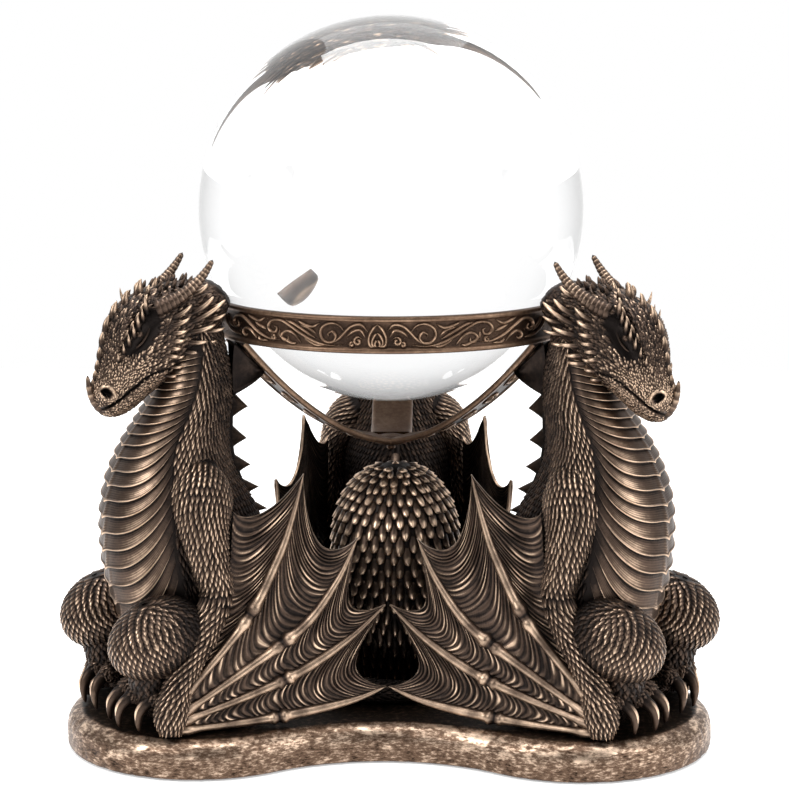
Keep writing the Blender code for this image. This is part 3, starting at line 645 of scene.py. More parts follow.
def head_to_dragon(points):
    """From (forward, sideways, up) along the head to the dragon's frame."""
    points = np.asarray(points, float)
    cosine, sine = math.cos(HEAD_PITCH), math.sin(HEAD_PITCH)
    forward, sideways, up = points[..., 0], points[..., 1], points[..., 2]
    turned_points = [forward * cosine + up * sine, sideways, up * cosine - forward * sine]
    return HEAD_ORIGIN + np.stack(turned_points, -1)


def mouth_height(x):
    """The height of the line between the lips at x along the head."""
    places, heights = np.array(MOUTH_LINE).T
    return np.interp(x, places, heights)


def socket_height(x):
    """The height of the eye socket's middle at x along the head."""
    return SOCKET[1] - 0.28 * (x - SOCKET[0])


def head_local(a, b):
    """The head's skin in its own frame: a from the neck to the snout, b from the crown down a side."""
    a, b = np.broadcast_arrays(np.asarray(a, float), np.asarray(b, float))
    profile = spline(HEAD_PROFILE, a)
    x, top, under, half = (profile[..., index] for index in range(4))
    middle = (top + under) / 2.0
    tall = (top - under) / 2.0
    y = middle + tall * np.cos(b)
    side = np.sin(b)
    wide = half * side * (1.0 + 0.08 * np.sin(2.0 * b) ** 2)
    reach = np.abs(side)
    out = np.zeros(a.shape)
    socket_y = socket_height(x)
    socket_tall = 3.9 - 0.22 * np.clip(x - SOCKET[0], 0.0, 9.0)
    out -= 2.2 * np.exp(-((x - SOCKET[0]) / 7.0) ** 4 - ((y - socket_y) / socket_tall) ** 4)
    out += 1.3 * np.exp(-((x - 9.0) / 9.0) ** 4 - ((y - socket_y - socket_tall - 1.2) / 1.3) ** 2)
    out += 0.9 * np.exp(-((x - 10.0) / 8.0) ** 4 - ((y - socket_y + socket_tall + 0.6) / 1.2) ** 2)
    out += 0.8 * np.exp(-((x - 3.0) / 3.0) ** 2 - ((y + 1.0) / 3.5) ** 2)
    out += 1.1 * np.exp(-((x - 8.6) / 2.6) ** 2 - ((y - socket_y - 0.4) / 1.6) ** 2)
    mouth = mouth_height(x)
    gape = ramp(x, 5.0, 9.0)
    out -= 1.5 * np.exp(-((y - mouth) / 0.5) ** 2) * gape
    out += 0.45 * np.exp(-((y - mouth - 1.2) / 0.7) ** 2) * gape
    out -= 0.8 * ramp(mouth - y, 0.0, 1.2) * gape
    out -= 2.0 * np.exp(-((x - NOSTRIL[0]) / 0.75) ** 4 - ((y - NOSTRIL[1]) / 1.10) ** 4)
    out += 0.7 * np.exp(-(np.hypot(x - NOSTRIL[0], (y - NOSTRIL[1]) * 0.75) - 1.5) ** 2 / 0.35)
    out += 0.5 * np.exp(-((x - 17.0) / 5.0) ** 2 - ((y - 1.0) / 2.2) ** 2)
    wide = wide + np.sign(side) * out * ramp(reach, 0.05, 0.6)
    return np.stack([x, wide, y], -1)


HEAD = Surface(lambda a, b: head_to_dragon(head_local(a, b)), -1.0)


def head_side(x, y, lift=0.0):
    """The point of the head's left side at (x, y) in its own frame, raised by lift."""
    profile = np.array([np.interp(x, HEAD_PROFILE[:, 0], HEAD_PROFILE[:, column]) for column in (1, 2, 3)])
    middle, tall = (profile[0] + profile[1]) / 2.0, (profile[0] - profile[1]) / 2.0
    reach = math.sqrt(max(0.0, 1.0 - ((y - middle) / tall) ** 2))
    return np.array((x, profile[2] * reach + lift, y))


def head_thorn(shape, root, tip, radius, bend=(0.0, 0.0, 0.0), **options):
    """A spike given in the head's frame; bend is in that frame too."""
    bend = head_to_dragon(bend) - HEAD_ORIGIN
    thorn(shape, head_to_dragon(root), head_to_dragon(tip), radius, bend=bend, **options)


def blend(first, last, share):
    return np.asarray(first, float) * (1.0 - share) + np.asarray(last, float) * share


# spikes that fan back from the cheek: first and last root, the angle of each in degrees and its length
FRILL_ROWS = (
    (((-2.4, 6.2), (-8.8, 4.2)), (178.0, 186.0), (7.6, 5.4), 0.8),
    (((-0.2, 4.2), (7.6, -1.9)),
     (187.0, 199.0, 214.0, 222.0, 226.0, 230.0), (6.4, 5.4, 4.8, 4.6, 4.0, 3.8), 0.8),
    (((-5.2, 1.2), (4.9, -7.0)),
     (184.0, 190.0, 206.0, 221.0, 227.0, 220.0), (7.4, 10.2, 7.6, 6.0, 5.0, 5.6), 0.85),
    (((-9.5, -1.5), (0.5, -8.6)), (192.0, 204.0, 214.0, 218.0, 222.0), (5.4, 5.8, 6.4, 5.4, 4.4), 0.7),
    (((6.6, -4.2), (10.6, -7.4)), (214.0, 222.0, 226.0), (3.4, 3.8, 3.2), 0.6),
)


def head_pebbles(shape):
    """Small scales over the face, pointing back, left off the eye, the nostril and the mouth."""
    for side in (1.0, -1.0):
        surface = Surface(lambda a, b: head_to_dragon(head_local(a, b * side)), -side)
        a, b, length, width = scale_places(surface, 0.97, 0.02, constant(0.04), constant(math.pi - 0.04),
                                           lambda a: 2.1 - 1.15 * ramp(a, 0.25, 0.6),
                                           lambda a: 1.6 - 0.80 * ramp(a, 0.25, 0.6), jitter=0.08)
        local = head_local(a, b)
        x, y = local[:, 0], local[:, 2]
        socket_y = socket_height(x)
        in_socket = ((x - SOCKET[0]) / 6.8) ** 2 + ((y - socket_y) / 3.5) ** 2 < 1.0
        in_nostril = np.hypot(x - NOSTRIL[0], y - NOSTRIL[1]) < 1.9
        in_mouth = (np.abs(y - mouth_height(x)) < 0.8) & (x > 7.0)
        kept = ~(in_socket | in_nostril | in_mouth)
        shine = 0.42 + 0.60 * ramp(x, 4.0, 15.0) * ramp(5.0 - y, -3.0, 5.0)
        shine = shine + 0.6 * RANDOM.random(len(a)) ** 2
        turn = math.pi + RANDOM.normal(0.0, 0.22, len(a))
        lay_scales(shape, surface, a[kept], b[kept], length[kept], width[kept] * 1.05, 0.24, 0.26,
                   turn=turn[kept], template=PEBBLE_SCALE, shine=shine[kept])


NAPE_DEPTH = 3.2
NAPE_PITS = 2.2


def close_nape(shape, opening, inside):
    """A pitted dome that closes the back of the skull above the neck."""
    centre = opening.mean(axis=0)
    back = unit(centre - inside.mean(axis=0))
    rise = np.linspace(0.0, 0.98, 24)[:, None, None] * math.pi / 2.0
    dome = centre + (opening[None] - centre) * np.cos(rise) + back * (NAPE_DEPTH * np.sin(rise))
    field = dents(*(dome[..., axis] * NAPE_PITS for axis in range(3)))
    dome = dome + back * (0.25 * field * np.sin(rise[..., 0]))[..., None]
    columns = len(opening)
    last = (len(dome) - 1) * columns
    points = np.concatenate([dome.reshape(-1, 3), (centre + back * NAPE_DEPTH)[None]])
    tone = np.concatenate([(0.16 + 0.22 * np.clip(field, 0.0, 1.0)).ravel(), [0.2]])
    shape.add(points, grid_quads(len(dome), columns, around=True), fan(columns, last + columns, last),
              wear=tone)


def head_skin(shape):
    """The skull's skin, dark in the eye socket, the mouth and the nostril, and worn on the snout."""
    rows, columns = 190, 200
    a_values = np.linspace(0.0, 1.0, rows)
    b_values = np.linspace(0.0, TAU, columns + 1)[:-1]
    a, b = np.meshgrid(a_values, b_values, indexing="ij")
    local = head_local(a, b)
    x, y = local[..., 0], local[..., 2]
    speck = 0.5 + 0.5 * np.sin(x * 5.1 + 1.3 * np.sin(y * 4.3)) * np.sin(y * 5.7 + 1.7 * np.sin(x * 3.9))
    tone = 0.06 + 0.22 * speck
    tone -= 0.4 * np.exp(-((x - SOCKET[0]) / 7.0) ** 4 - ((y - socket_height(x)) / 3.6) ** 4)
    tone -= 0.5 * np.exp(-((y - mouth_height(x)) / 0.5) ** 2) * ramp(x, 5.0, 9.0)
    tone -= 0.9 * np.exp(-((x - NOSTRIL[0]) / 0.9) ** 4 - ((y - NOSTRIL[1]) / 1.3) ** 4)
    tone += 0.40 * np.exp(-(np.hypot(x - NOSTRIL[0], (y - NOSTRIL[1]) * 0.75) - 1.6) ** 2 / 0.25)
    tone += 0.22 * ramp(x, 12.0, 20.0)
    place, _, _, normal = HEAD.frame(a, b)
    pores = 0.09 * (speck - 0.5)
    shape.add(place + normal * pores[..., None], grid_quads(rows, columns, True, True), wear=tone)
    close_nape(shape, place[0], place[12])


# leaf plates over the eye, from the brow's back to its front
BROW_LENGTHS = (5.6, 4.2, 5.0, 4.3, 3.8, 3.2, 2.6, 2.0)
# places along the crown and snout, their heights, and the length of the plate on each
CROWN_PLATES = ((-5.2, 10.4, 2.6), (-0.8, 12.4, 4.3), (3.8, 13.2, 3.6), (8.2, 13.0, 3.8), (12.0, 11.9, 3.4),
                (15.2, 9.9, 3.2), (18.2, 7.7, 2.7), (20.8, 5.8, 2.3), (23.0, 4.4, 2.0), (24.9, 3.3, 1.6))
LIP_SCALES = 19
NAPE_SPIKES = 9


def head_side_details(shape, side):
    """Everything that stands out from one side of the head; side is 1 for the left and -1 for the right."""
    mirror = np.array((1.0, side, 1.0))

    def spike(root, tip, radius, bend=(0.0, 0.0, 0.0), **options):
        head_thorn(shape, np.asarray(root) * mirror, np.asarray(tip) * mirror, radius,
                   bend=np.asarray(bend) * mirror, **options)

    # horn, ringed and swept back, blunt at its tip
    spike((1.0, 7.2, 8.6), (-18.7, 10.2, 8.2), 2.15, bend=(0.0, 0.9, -1.7), end=0.28, sides=16, rings=90,
          ribs=16, wear=(0.45, 0.72), power=0.75)
    for roots, angles, lengths, thick in FRILL_ROWS:
        for index, (angle, long) in enumerate(zip(angles, lengths)):
            spot = blend(roots[0], roots[1], index / max(1, len(angles) - 1))
            root = head_side(spot[0], spot[1], -0.6)
            angle = math.radians(angle)
            reach = np.array((math.cos(angle) * long, 0.6 + 0.17 * long, math.sin(angle) * long))
            spike(root, root + reach, thick, bend=(0.0, 0.7, -0.3), end=0.3, sides=8, rings=9,
                  wear=(0.12, 0.82), power=0.5)
    # leaf plates along the brow, and a second line nearer the crown
    for index, long in enumerate(BROW_LENGTHS):
        share = index / (len(BROW_LENGTHS) - 1.0)
        root = head_side(*blend((3.4, 9.6), (20.0, 3.9), share), 0.0)
        tip = root + np.array((-0.40, 0.34, 0.85)) * long
        spike(root, tip, 0.30 + 0.11 * long, bend=(0.3, 0.5, -0.1), end=0.05, sides=10, rings=12, flat=1.05,
              wear=(0.0, 0.75), power=0.85)
    for index in range(8):
        share = index / 7.0
        root = head_side(*blend((-0.5, 11.6), (17.5, 7.0), share), -0.1)
        tip = root + np.array((-2.2, 0.5, 2.0 - 0.8 * share))
        spike(root, tip, 0.62 - 0.2 * share, bend=(0.2, 0.5, 0.3), end=0.12, sides=8, rings=7, flat=1.5,
              wear=(0.08, 0.75), power=0.6)
    # scales that edge both lips
    for index in range(LIP_SCALES):
        x_lip = 9.6 + 18.6 * index / (LIP_SCALES - 1.0)
        for offset, size, lift in ((1.15, 0.62, -0.2), (-1.45, 0.55, -0.75)):
            spot = head_side(x_lip + 0.3 * offset, mouth_height(x_lip) + offset, lift)
            spike(spot, spot + (-0.5, 0.55, 0.0), size, end=0.4, sides=7, rings=4, wear=(0.15, 0.6),
                  power=0.5)
    # the eye between its lids
    eye = head_side(8.6, 6.7, -1.7)
    spike(eye + (0.0, -1.2, 0.0), eye + (0.2, 1.1, -0.1), 1.5, end=0.5, sides=16, rings=9, wear=(0.15, 0.35),
          power=0.5)
    for offset, arch in ((1.35, 0.7), (-1.25, -0.5)):
        lid = eye + np.array((0.0, 0.8, offset))
        spike(lid + (-2.8, -0.3, 0.4), lid + (3.2, -0.2, -1.0), 0.42, bend=(0.0, 0.3, arch), end=0.3, sides=8,
              rings=9, wear=(0.12, 0.3), power=0.4)
    # small spikes in the hollow between the horns
    for index in range(NAPE_SPIKES):
        x_root = -3.0 - 1.25 * index
        y_root = float(np.interp(x_root, HEAD_PROFILE[:, 0], HEAD_PROFILE[:, 1]))
        out = (5.4, 2.6, 4.2)[index % 3]
        root = np.array((x_root, out, y_root - 0.12 * out))
        spike(root, root + (-2.0, 0.5, 0.9), 0.75, end=0.2, sides=7, rings=6, wear=(0.05, 0.4), power=0.6)


def build_head():
    shape = Shape()
    head_skin(shape)
    head_pebbles(shape)
    for side in (1.0, -1.0):
        head_side_details(shape, side)
    # plates down the middle of the crown and snout, smaller towards the nose
    for x_root, y_root, long in CROWN_PLATES:
        root = (x_root + 1.4, 0.0, y_root - 1.3)
        tip = (x_root - 0.50 * long, 0.0, y_root + 0.62 * long)
        head_thorn(shape, root, tip, 0.25 + 0.28 * long, bend=(0.7, 0.0, 0.25), end=0.08, sides=10, rings=10,
                   flat=1.5, wear=(0.06, 0.7), power=0.7)
    # the horn on the nose
    head_thorn(shape, (27.9, 0.0, -5.8), (25.7, 0.0, 5.9), 1.45, bend=(2.0, 0.0, -0.3), end=0.14, sides=12,
               rings=26, ribs=6, wear=(0.35, 0.75), power=0.5)
    return shape


# ---------------------------------------------------------------- back crest, tail, bracket

CREST_TIPS = ((45.9, 91.6), (46.3, 82.6), (45.2, 74.9), (42.6, 68.2), (40.0, 61.6), (39.6, 55.4))
CREST_ROOTS = ((50.6, 97.6), (51.2, 88.0), (51.0, 79.6), (49.0, 72.4), (46.2, 66.2), (44.2, 60.6),
               (43.4, 54.4))


def build_fin(shape, upper, lower, tip):
    """One fin between its upper and lower root, thick at the root and thin at the edge."""
    rows, columns = 15, 7
    share = np.linspace(0.0, 1.0, rows)[:, None]
    across = np.linspace(0.0, 1.0, columns)
    hollow = np.sin(share * math.pi) * 0.25
    upper_edge = upper * (1.0 - share) + tip * share + hollow * np.array((0.95, 0.35))
    lower_edge = lower * (1.0 - share) + tip * share + hollow * np.array((0.8, 0.5))
    middle = upper_edge[:, None] * (1.0 - across[None, :, None]) + lower_edge[:, None] * across[None, :, None]
    thick = (1.7 * (1.0 - share) ** 0.8 + 0.2) * np.sin(math.pi * across)[None] ** 0.6 + 0.12
    tone = 0.12 + 0.5 * share ** 2 + 0.25 * (1.0 - np.sin(math.pi * across))[None]
    radius = middle[..., 0] + 0.9 * (1.0 - share)
    sheets = [np.stack([radius, side * thick, middle[..., 1]], -1).reshape(-1, 3) for side in (1.0, -1.0)]
    size = rows * columns
    rim = [row * columns for row in range(rows)]
    rim += [(rows - 1) * columns + column for column in range(1, columns)]
    rim += [row * columns + columns - 1 for row in range(rows - 2, -1, -1)]
    quads = [grid_quads(rows, columns), grid_quads(rows, columns, flip=True) + size, rim_walls(rim, size)]
    shape.add(np.concatenate(sheets), np.concatenate(quads), wear=np.concatenate([tone.ravel()] * 2))


def build_crest():
    """The row of fins down the spine and the ridge that they stand on."""
    shape = Shape()
    for index, tip in enumerate(CREST_TIPS):
        build_fin(shape, np.array(CREST_ROOTS[index]), np.array(CREST_ROOTS[index + 1]), np.array(tip))
    spine = np.array([(radius + 1.2, 0.0, z) for radius, z in CREST_ROOTS])
    ridge = tube_surface(spine, ((1.7, 1.9),) * 2)
    skin(shape, ridge, 40, 16)
    return shape


TAIL_PATH = ((44.5, 0.0, 15.5), (37.0, 5.0, 13.2), (31.5, 13.0, 12.4), (24.0, 22.5, 11.9),
             (13.0, 29.5, 11.4), (1.0, 32.0, 10.9), (-10.0, 30.0, 10.2))
TAIL_RADII = (6.2, 4.6, 3.8, 3.3, 2.8, 2.2, 0.5)
TAIL = tube_surface(TAIL_PATH, [(radius, radius) for radius in TAIL_RADII], side=(0.0, 0.0, 1.0))


def build_tail():
    shape = Shape()
    skin(shape, TAIL, 70, 24)
    a, b, length, width = scale_places(TAIL, 0.02, 0.94, constant(0.0), constant(TAU), between(3.4, 2.2),
                                       between(1.9, 1.2))
    lay_scales(shape, TAIL, a, b, length, width * 1.1, 0.4, 0.3, shine=0.2)
    return shape


CRADLE_BOTTOM_Z = 79.2
CRADLE_RISE = 29.4
CRADLE_RISE_RADIUS = 46.5
CRADLE_POWER = 1.8
CRADLE_WIDTH = 12.0
CRADLE_THICKNESS = 1.8
CRADLE_START = 3.4
CRADLE_END = 48.6
STRAP_CURLS = 6
STRAP_CURL_SPACING = 6.8
# the gusset: its inner and outer radius on the strap, and its outer radius and height on the neck
GUSSET_INNER = 41.6
GUSSET_OUTER = 49.4
GUSSET_NECK = (51.4, 95.6)


def cradle_top(radius):
    return CRADLE_BOTTOM_Z + CRADLE_RISE * (radius / CRADLE_RISE_RADIUS) ** CRADLE_POWER


def cradle_frame(radius):
    """The point on a strap's upper face and the direction into the strap."""
    steepest = CRADLE_RISE * CRADLE_POWER / CRADLE_RISE_RADIUS
    slope = steepest * (radius / CRADLE_RISE_RADIUS) ** (CRADLE_POWER - 1.0)
    down = unit(np.stack([slope, np.zeros(np.shape(radius)), -np.ones(np.shape(radius))], -1))
    return np.stack([radius, np.zeros(np.shape(radius)), cradle_top(radius)], -1), down


def build_cradle_arm():
    """A strap with smooth rounded sides and a carved outer face."""
    shape = Shape()
    radius = np.linspace(CRADLE_START, CRADLE_END, 160)
    top, down = cradle_frame(radius)
    half = CRADLE_WIDTH / 2.0
    # (sideways, depth) round the strap: smooth upper face, rolled sides, sunk carved face below
    section = [(-0.86, 0.0), (-0.96, 0.12), (-1.0, 0.35), (-1.0, 0.7), (-0.96, 0.92), (-0.88, 1.0),
               (-0.76, 0.98), (-0.72, 0.82)]
    section += [(share, 0.80) for share in np.linspace(-0.66, 0.66, 9)]
    section += [(-sideways, depth) for sideways, depth in reversed(section[:8])]
    section += [(share, 0.0) for share in np.linspace(0.7, -0.7, 6)]
    section = np.array(section)
    sideways = section[:, 0] * half
    depth = section[:, 1] * CRADLE_THICKNESS
    points = top[:, None] + down[:, None] * depth[None, :, None]
    points[..., 1] += sideways[None]
    tone = np.where(section[:, 1] < 0.75, 0.50, 0.54)
    tone = np.where((np.abs(section[:, 0]) < 0.7) & (section[:, 1] > 0.5), 0.10, tone)
    shape.add(points, grid_quads(len(radius), len(section), around=True),
              wear=np.broadcast_to(tone, points.shape[:2]))
    for end, flip in ((0, True), (-1, False)):
        cap = np.vstack([points[end], points[end].mean(0)])
        shape.add(cap, triangles=fan(len(section), len(section), flip=flip), wear=0.3)

    def on_strap(points_uv, lift):
        reach = np.asarray(points_uv, float)
        place, into = cradle_frame(reach[..., 0])
        place = place + into * (CRADLE_THICKNESS * 0.80 + lift)[..., None]
        place[..., 1] += reach[..., 1]
        return place

    for index in range(STRAP_CURLS):
        start = 8.4 + index * STRAP_CURL_SPACING
        for side in (1.0, -1.0):
            curl = spiral_points(start + 3.2, 0.4 * side, 2.5, 0.5, 1.6, 200.0 * side, side)
            relief_stroke(shape, curl, 0.42, 0.55, on_strap)
    return shape


def build_bracket():
    """The gusset that ties the dragon's neck to its strap, hollow on its lower edge."""
    shape = Shape()
    rows, columns = 16, 12
    along = np.linspace(0.0, 1.0, rows)
    reach = GUSSET_INNER + (GUSSET_OUTER - GUSSET_INNER) * along
    top, down = cradle_frame(reach)
    upper = top + down * CRADLE_THICKNESS
    lower = np.stack([GUSSET_INNER + (GUSSET_NECK[0] - GUSSET_INNER) * along, np.zeros(rows),
                      upper[0, 2] + (GUSSET_NECK[1] - upper[0, 2]) * along ** 0.62], -1)
    share = np.linspace(0.0, 1.0, columns)
    middle = upper[:, None] * (1.0 - share[None, :, None]) + lower[:, None] * share[None, :, None]
    thick = 2.6 - 1.2 * np.sin(share * math.pi) ** 0.7
    sides = [middle + np.array((0.0, side, 0.0)) * thick[None, :, None] for side in (1.0, -1.0)]
    count = rows * columns
    rim = [row * columns for row in range(rows - 1, -1, -1)] + [column for column in range(1, columns)]
    rim += [row * columns + columns - 1 for row in range(1, rows)]
    quads = [grid_quads(rows, columns, flip=True), grid_quads(rows, columns) + count, rim_walls(rim, count)]
    shape.add(np.concatenate([side.reshape(-1, 3) for side in sides]), np.concatenate(quads), wear=0.12)
    return shape


# ---------------------------------------------------------------- relief carving


def spiral_points(u_centre, v_centre, outer, inner, turns, start, direction):
    """A curl in the flat: from the outer radius round to the inner one. start is in degrees."""
    count = int(26 * turns)
    share = np.linspace(0.0, 1.0, count)
    radius = outer + (inner - outer) * share ** 0.8
    angle = math.radians(start) + direction * share * turns * TAU
    return np.stack([u_centre + radius * np.cos(angle), v_centre + radius * np.sin(angle)], -1)


def relief_stroke(shape, line, width, height, place, wear=0.75):
    """A rounded raised line on a carved face; place(uv, lift) puts it on the surface."""
    line = np.asarray(line, float)
    tangent = unit(np.gradient(line, axis=0))
    normal = np.stack([-tangent[:, 1], tangent[:, 0]], -1)
    share = np.linspace(0.0, 1.0, len(line))
    swell = np.minimum(1.0, 0.25 + 3.5 * np.minimum(share, 1.0 - share))
    across = np.array((-1.0, -0.72, 0.0, 0.72, 1.0))
    rise = np.array((-0.25, 0.62, 1.0, 0.62, -0.25))
    uv = line[:, None] + normal[:, None] * (across[None] * (width * swell)[:, None])[..., None]
    lift = rise[None] * height * np.sqrt(swell)[:, None]
    tone = np.broadcast_to(np.array((0.05, 0.6, 1.0, 0.6, 0.05)) * wear, lift.shape)
    shape.add(place(uv, lift), grid_quads(len(line), 5), wear=tone)


# ---------------------------------------------------------------- ring

RING_INNER = 49.9
RING_OUTER = 52.1
RING_BAND = 51.45
RING_TOP = 121.0
RING_BOTTOM = 111.0
RING_TURN = math.radians(-92.8)
RING_BEADS = 900
SECTOR = TAU / 3.0
# the flowing lines in half a sector of the carving: how many points each is drawn with, then the
# (arc length, height) points that it runs through
RING_CURVES = (
    (40, ((2.6, 4.4), (4.4, 6.2), (7.0, 5.7), (9.0, 3.9), (10.6, 2.2), (12.6, 0.8))),
    (24, ((3.2, 2.8), (4.6, 4.7), (6.6, 4.3), (8.2, 2.9))),
    (80, ((8.9, 4.3), (10.6, 6.0), (13.2, 6.3), (15.4, 4.9), (15.6, 2.8), (14.2, 1.3), (12.2, 1.4),
          (11.3, 2.8), (12.2, 4.1), (13.4, 3.6), (13.3, 2.8))),
    (100, ((9.4, 0.7), (13.0, 0.4), (17.0, 1.0), (21.0, 2.8), (25.0, 5.0), (28.2, 6.2), (31.2, 5.8),
           (32.4, 4.3), (31.4, 2.9), (29.8, 3.0), (29.3, 4.1), (30.3, 4.5))),
    (30, ((17.2, 2.2), (20.4, 3.9), (24.0, 5.7), (26.4, 6.4))),
    (50, ((21.4, 0.6), (23.4, 2.7), (25.8, 3.5), (27.6, 2.5), (27.0, 1.0), (25.6, 1.1), (25.5, 2.1))),
    (90, ((28.4, 0.9), (32.0, 0.9), (36.0, 2.2), (40.0, 4.4), (43.5, 6.0), (46.5, 5.6), (47.6, 4.0),
          (46.3, 2.8), (44.9, 3.4), (45.5, 4.5))),
    (40, ((36.8, 0.5), (38.8, 2.2), (41.2, 2.9), (42.8, 1.8), (41.8, 0.8), (40.6, 1.3))),
    (40, ((44.0, 0.8), (48.0, 1.4), (51.5, 3.2), (53.6, 5.4))),
    (24, ((15.9, 6.3), (18.0, 5.2), (20.4, 5.6), (22.4, 6.6))),
    (20, ((17.0, 3.4), (19.2, 4.8), (21.6, 5.4))),
    (24, ((14.6, 0.3), (17.0, 0.3), (19.4, 1.4), (20.6, 2.6))),
    (24, ((22.8, 0.4), (24.6, 0.3), (28.0, 2.0), (28.4, 3.6))),
    (24, ((33.6, 6.5), (36.0, 5.4), (38.4, 5.9), (40.6, 6.7))),
    (20, ((33.2, 3.4), (35.6, 4.2), (37.6, 5.1))),
    (16, ((32.6, 0.3), (35.2, 0.3), (36.2, 1.2))),
    (20, ((47.2, 2.4), (49.6, 3.6), (51.6, 5.8))),
)
# curls: centre, outer and inner radius, turns, where it starts in degrees and which way it winds
RING_CURLS = (
    (5.3, 1.7, 1.35, 0.3, 1.3, 150.0, -1.0),
    (30.6, 1.4, 0.9, 0.2, 1.2, 40.0, 1.0),
    (6.9, 0.9, 0.7, 0.2, 1.1, 150.0, -1.0),
)


def ring_motif():
    """The carving for half a sector of the ring: lists of (arc length, height) lines, in millimetres."""
    lines = [spline(points, np.linspace(0, 1, count)) for count, points in RING_CURVES]
    lines += [spiral_points(*curl) for curl in RING_CURLS]
    # the pointed leaf in the middle of a sector, in three nested outlines
    for size in (1.0, 0.62, 0.3):
        leaf = ((0.0, 0.4), (1.9 * size, 0.6), (2.3 * size, 2.4 * size + 0.4),
                (1.2 * size, 4.7 * size + 0.4), (0.0, 6.0 * size + 0.3))
        lines.append(spline(leaf, np.linspace(0, 1, 36)))
    return lines


def ring_section():
    """The ring's cross-section, (radius, height): two smooth rims and the sunk band between them."""
    inner, outer, band = RING_INNER, RING_OUTER, RING_BAND
    low, high = RING_BOTTOM, RING_TOP
    section = [(inner, high - 0.5), (inner, low + 0.4), (inner + 0.3, low), (outer - 0.5, low),
               (outer - 0.12, low + 0.2), (outer, low + 0.75), (outer - 0.1, low + 1.25),
               (band + 0.1, low + 1.5), (band, low + 1.75)]
    section += [(band, height) for height in np.linspace(low + 2.6, high - 2.6, 6)]
    section += [(band, high - 1.75), (band + 0.1, high - 1.5), (outer - 0.1, high - 1.25),
                (outer, high - 0.75), (outer - 0.12, high - 0.2), (outer - 0.5, high), (inner + 0.3, high)]
    return np.array(section)


def build_ring():
    """The ring with its raised scrollwork and the punched ground behind it."""
    shape = Shape()
    segments = 480
    inner, band = RING_INNER, RING_BAND
    low, high = RING_BOTTOM, RING_TOP
    section = ring_section()
    angle = np.arange(segments) * TAU / segments
    radius, height = section.T
    points = np.stack([radius * np.cos(angle)[:, None], radius * np.sin(angle)[:, None],
                       np.broadcast_to(height, (segments, len(section)))], -1)
    tone = np.where(section[:, 0] > band + 0.2, 0.50, 0.30)
    tone = np.where(np.abs(section[:, 0] - band) < 0.06, 0.20, tone)
    tone = np.where(section[:, 0] < inner + 0.1, 0.35, tone)
    row = np.arange(segments)[:, None] * len(section)
    following = ((np.arange(segments) + 1) % segments)[:, None] * len(section)
    place = np.arange(len(section))[None]
    after = (place + 1) % len(section)
    quads = np.stack([row + place, following + place, following + after, row + after], -1).reshape(-1, 4)
    shape.add(points, quads, wear=np.broadcast_to(tone, points.shape[:2]))
    bottom = low + 1.6

    def on_ring(centre, side):
        def place_stroke(uv, lift):
            turn = centre + side * uv[..., 0] / band
            radius = band + lift
            return np.stack([radius * np.cos(turn), radius * np.sin(turn), bottom + uv[..., 1]], -1)
        return place_stroke

    for sector in range(3):
        centre = RING_TURN + sector * SECTOR
        for side in (1.0, -1.0):
            start = len(shape.quads)
            for line in ring_motif():
                relief_stroke(shape, line, 0.56, 0.66, on_ring(centre, side), wear=0.68)
            if side < 0.0:
                shape.quads[start:] = [faces[:, ::-1] for faces in shape.quads[start:]]
    # the ground between the scrolls is punched with small beads
    for _ in range(RING_BEADS):
        turn = RANDOM.uniform(0.0, TAU)
        height = RANDOM.uniform(low + 2.0, high - 2.0)
        radius = RANDOM.uniform(0.10, 0.2)
        spot = np.array((band * math.cos(turn), band * math.sin(turn), height))
        outward = np.array((math.cos(turn), math.sin(turn), 0.0))
        thorn(shape, spot - outward * 0.1, spot + outward * 0.2, radius, end=0.4, sides=6, rings=3,
              wear=(0.2, 0.45), side=(0.0, 0.0, 1.0), power=0.6)
    return shape


# ---------------------------------------------------------------- egg, boss, base, pad, ball

EGG_TOP = 71.5
EGG_SHIFT = 1.3
EGG_WIDEST_Z = 47.7
EGG_RADIUS = 17.9
EGG_BOTTOM_Z = 8.4
# the share of the way down from the egg's top to its foot where it is widest
EGG_WAIST = 0.45


def egg_point(a, b):
    """The egg's body: a from its top to its foot, b round it."""
    a, b = np.broadcast_arrays(np.asarray(a, float), np.asarray(b, float))
    a = np.clip(a, 0.0, 1.0)
    upper = np.clip(a / EGG_WAIST, 0.0, 1.0)
    lower = np.clip((a - EGG_WAIST) / (1.0 - EGG_WAIST), 0.0, 1.0)
    rise = EGG_TOP - 0.7 - EGG_WIDEST_Z
    z = np.where(a < EGG_WAIST, EGG_WIDEST_Z + rise * np.cos(upper * math.pi / 2.0),
                 EGG_WIDEST_Z + (EGG_BOTTOM_Z - EGG_WIDEST_Z) * lower)
    radius = np.where(a < EGG_WAIST, EGG_RADIUS * np.sin(upper * math.pi / 2.0) ** 0.92,
                      EGG_RADIUS * (1.0 - 0.42 * lower ** 2.2))
    return np.stack([EGG_SHIFT + radius * np.cos(b), radius * np.sin(b), z], -1)


EGG = Surface(egg_point, -1.0)


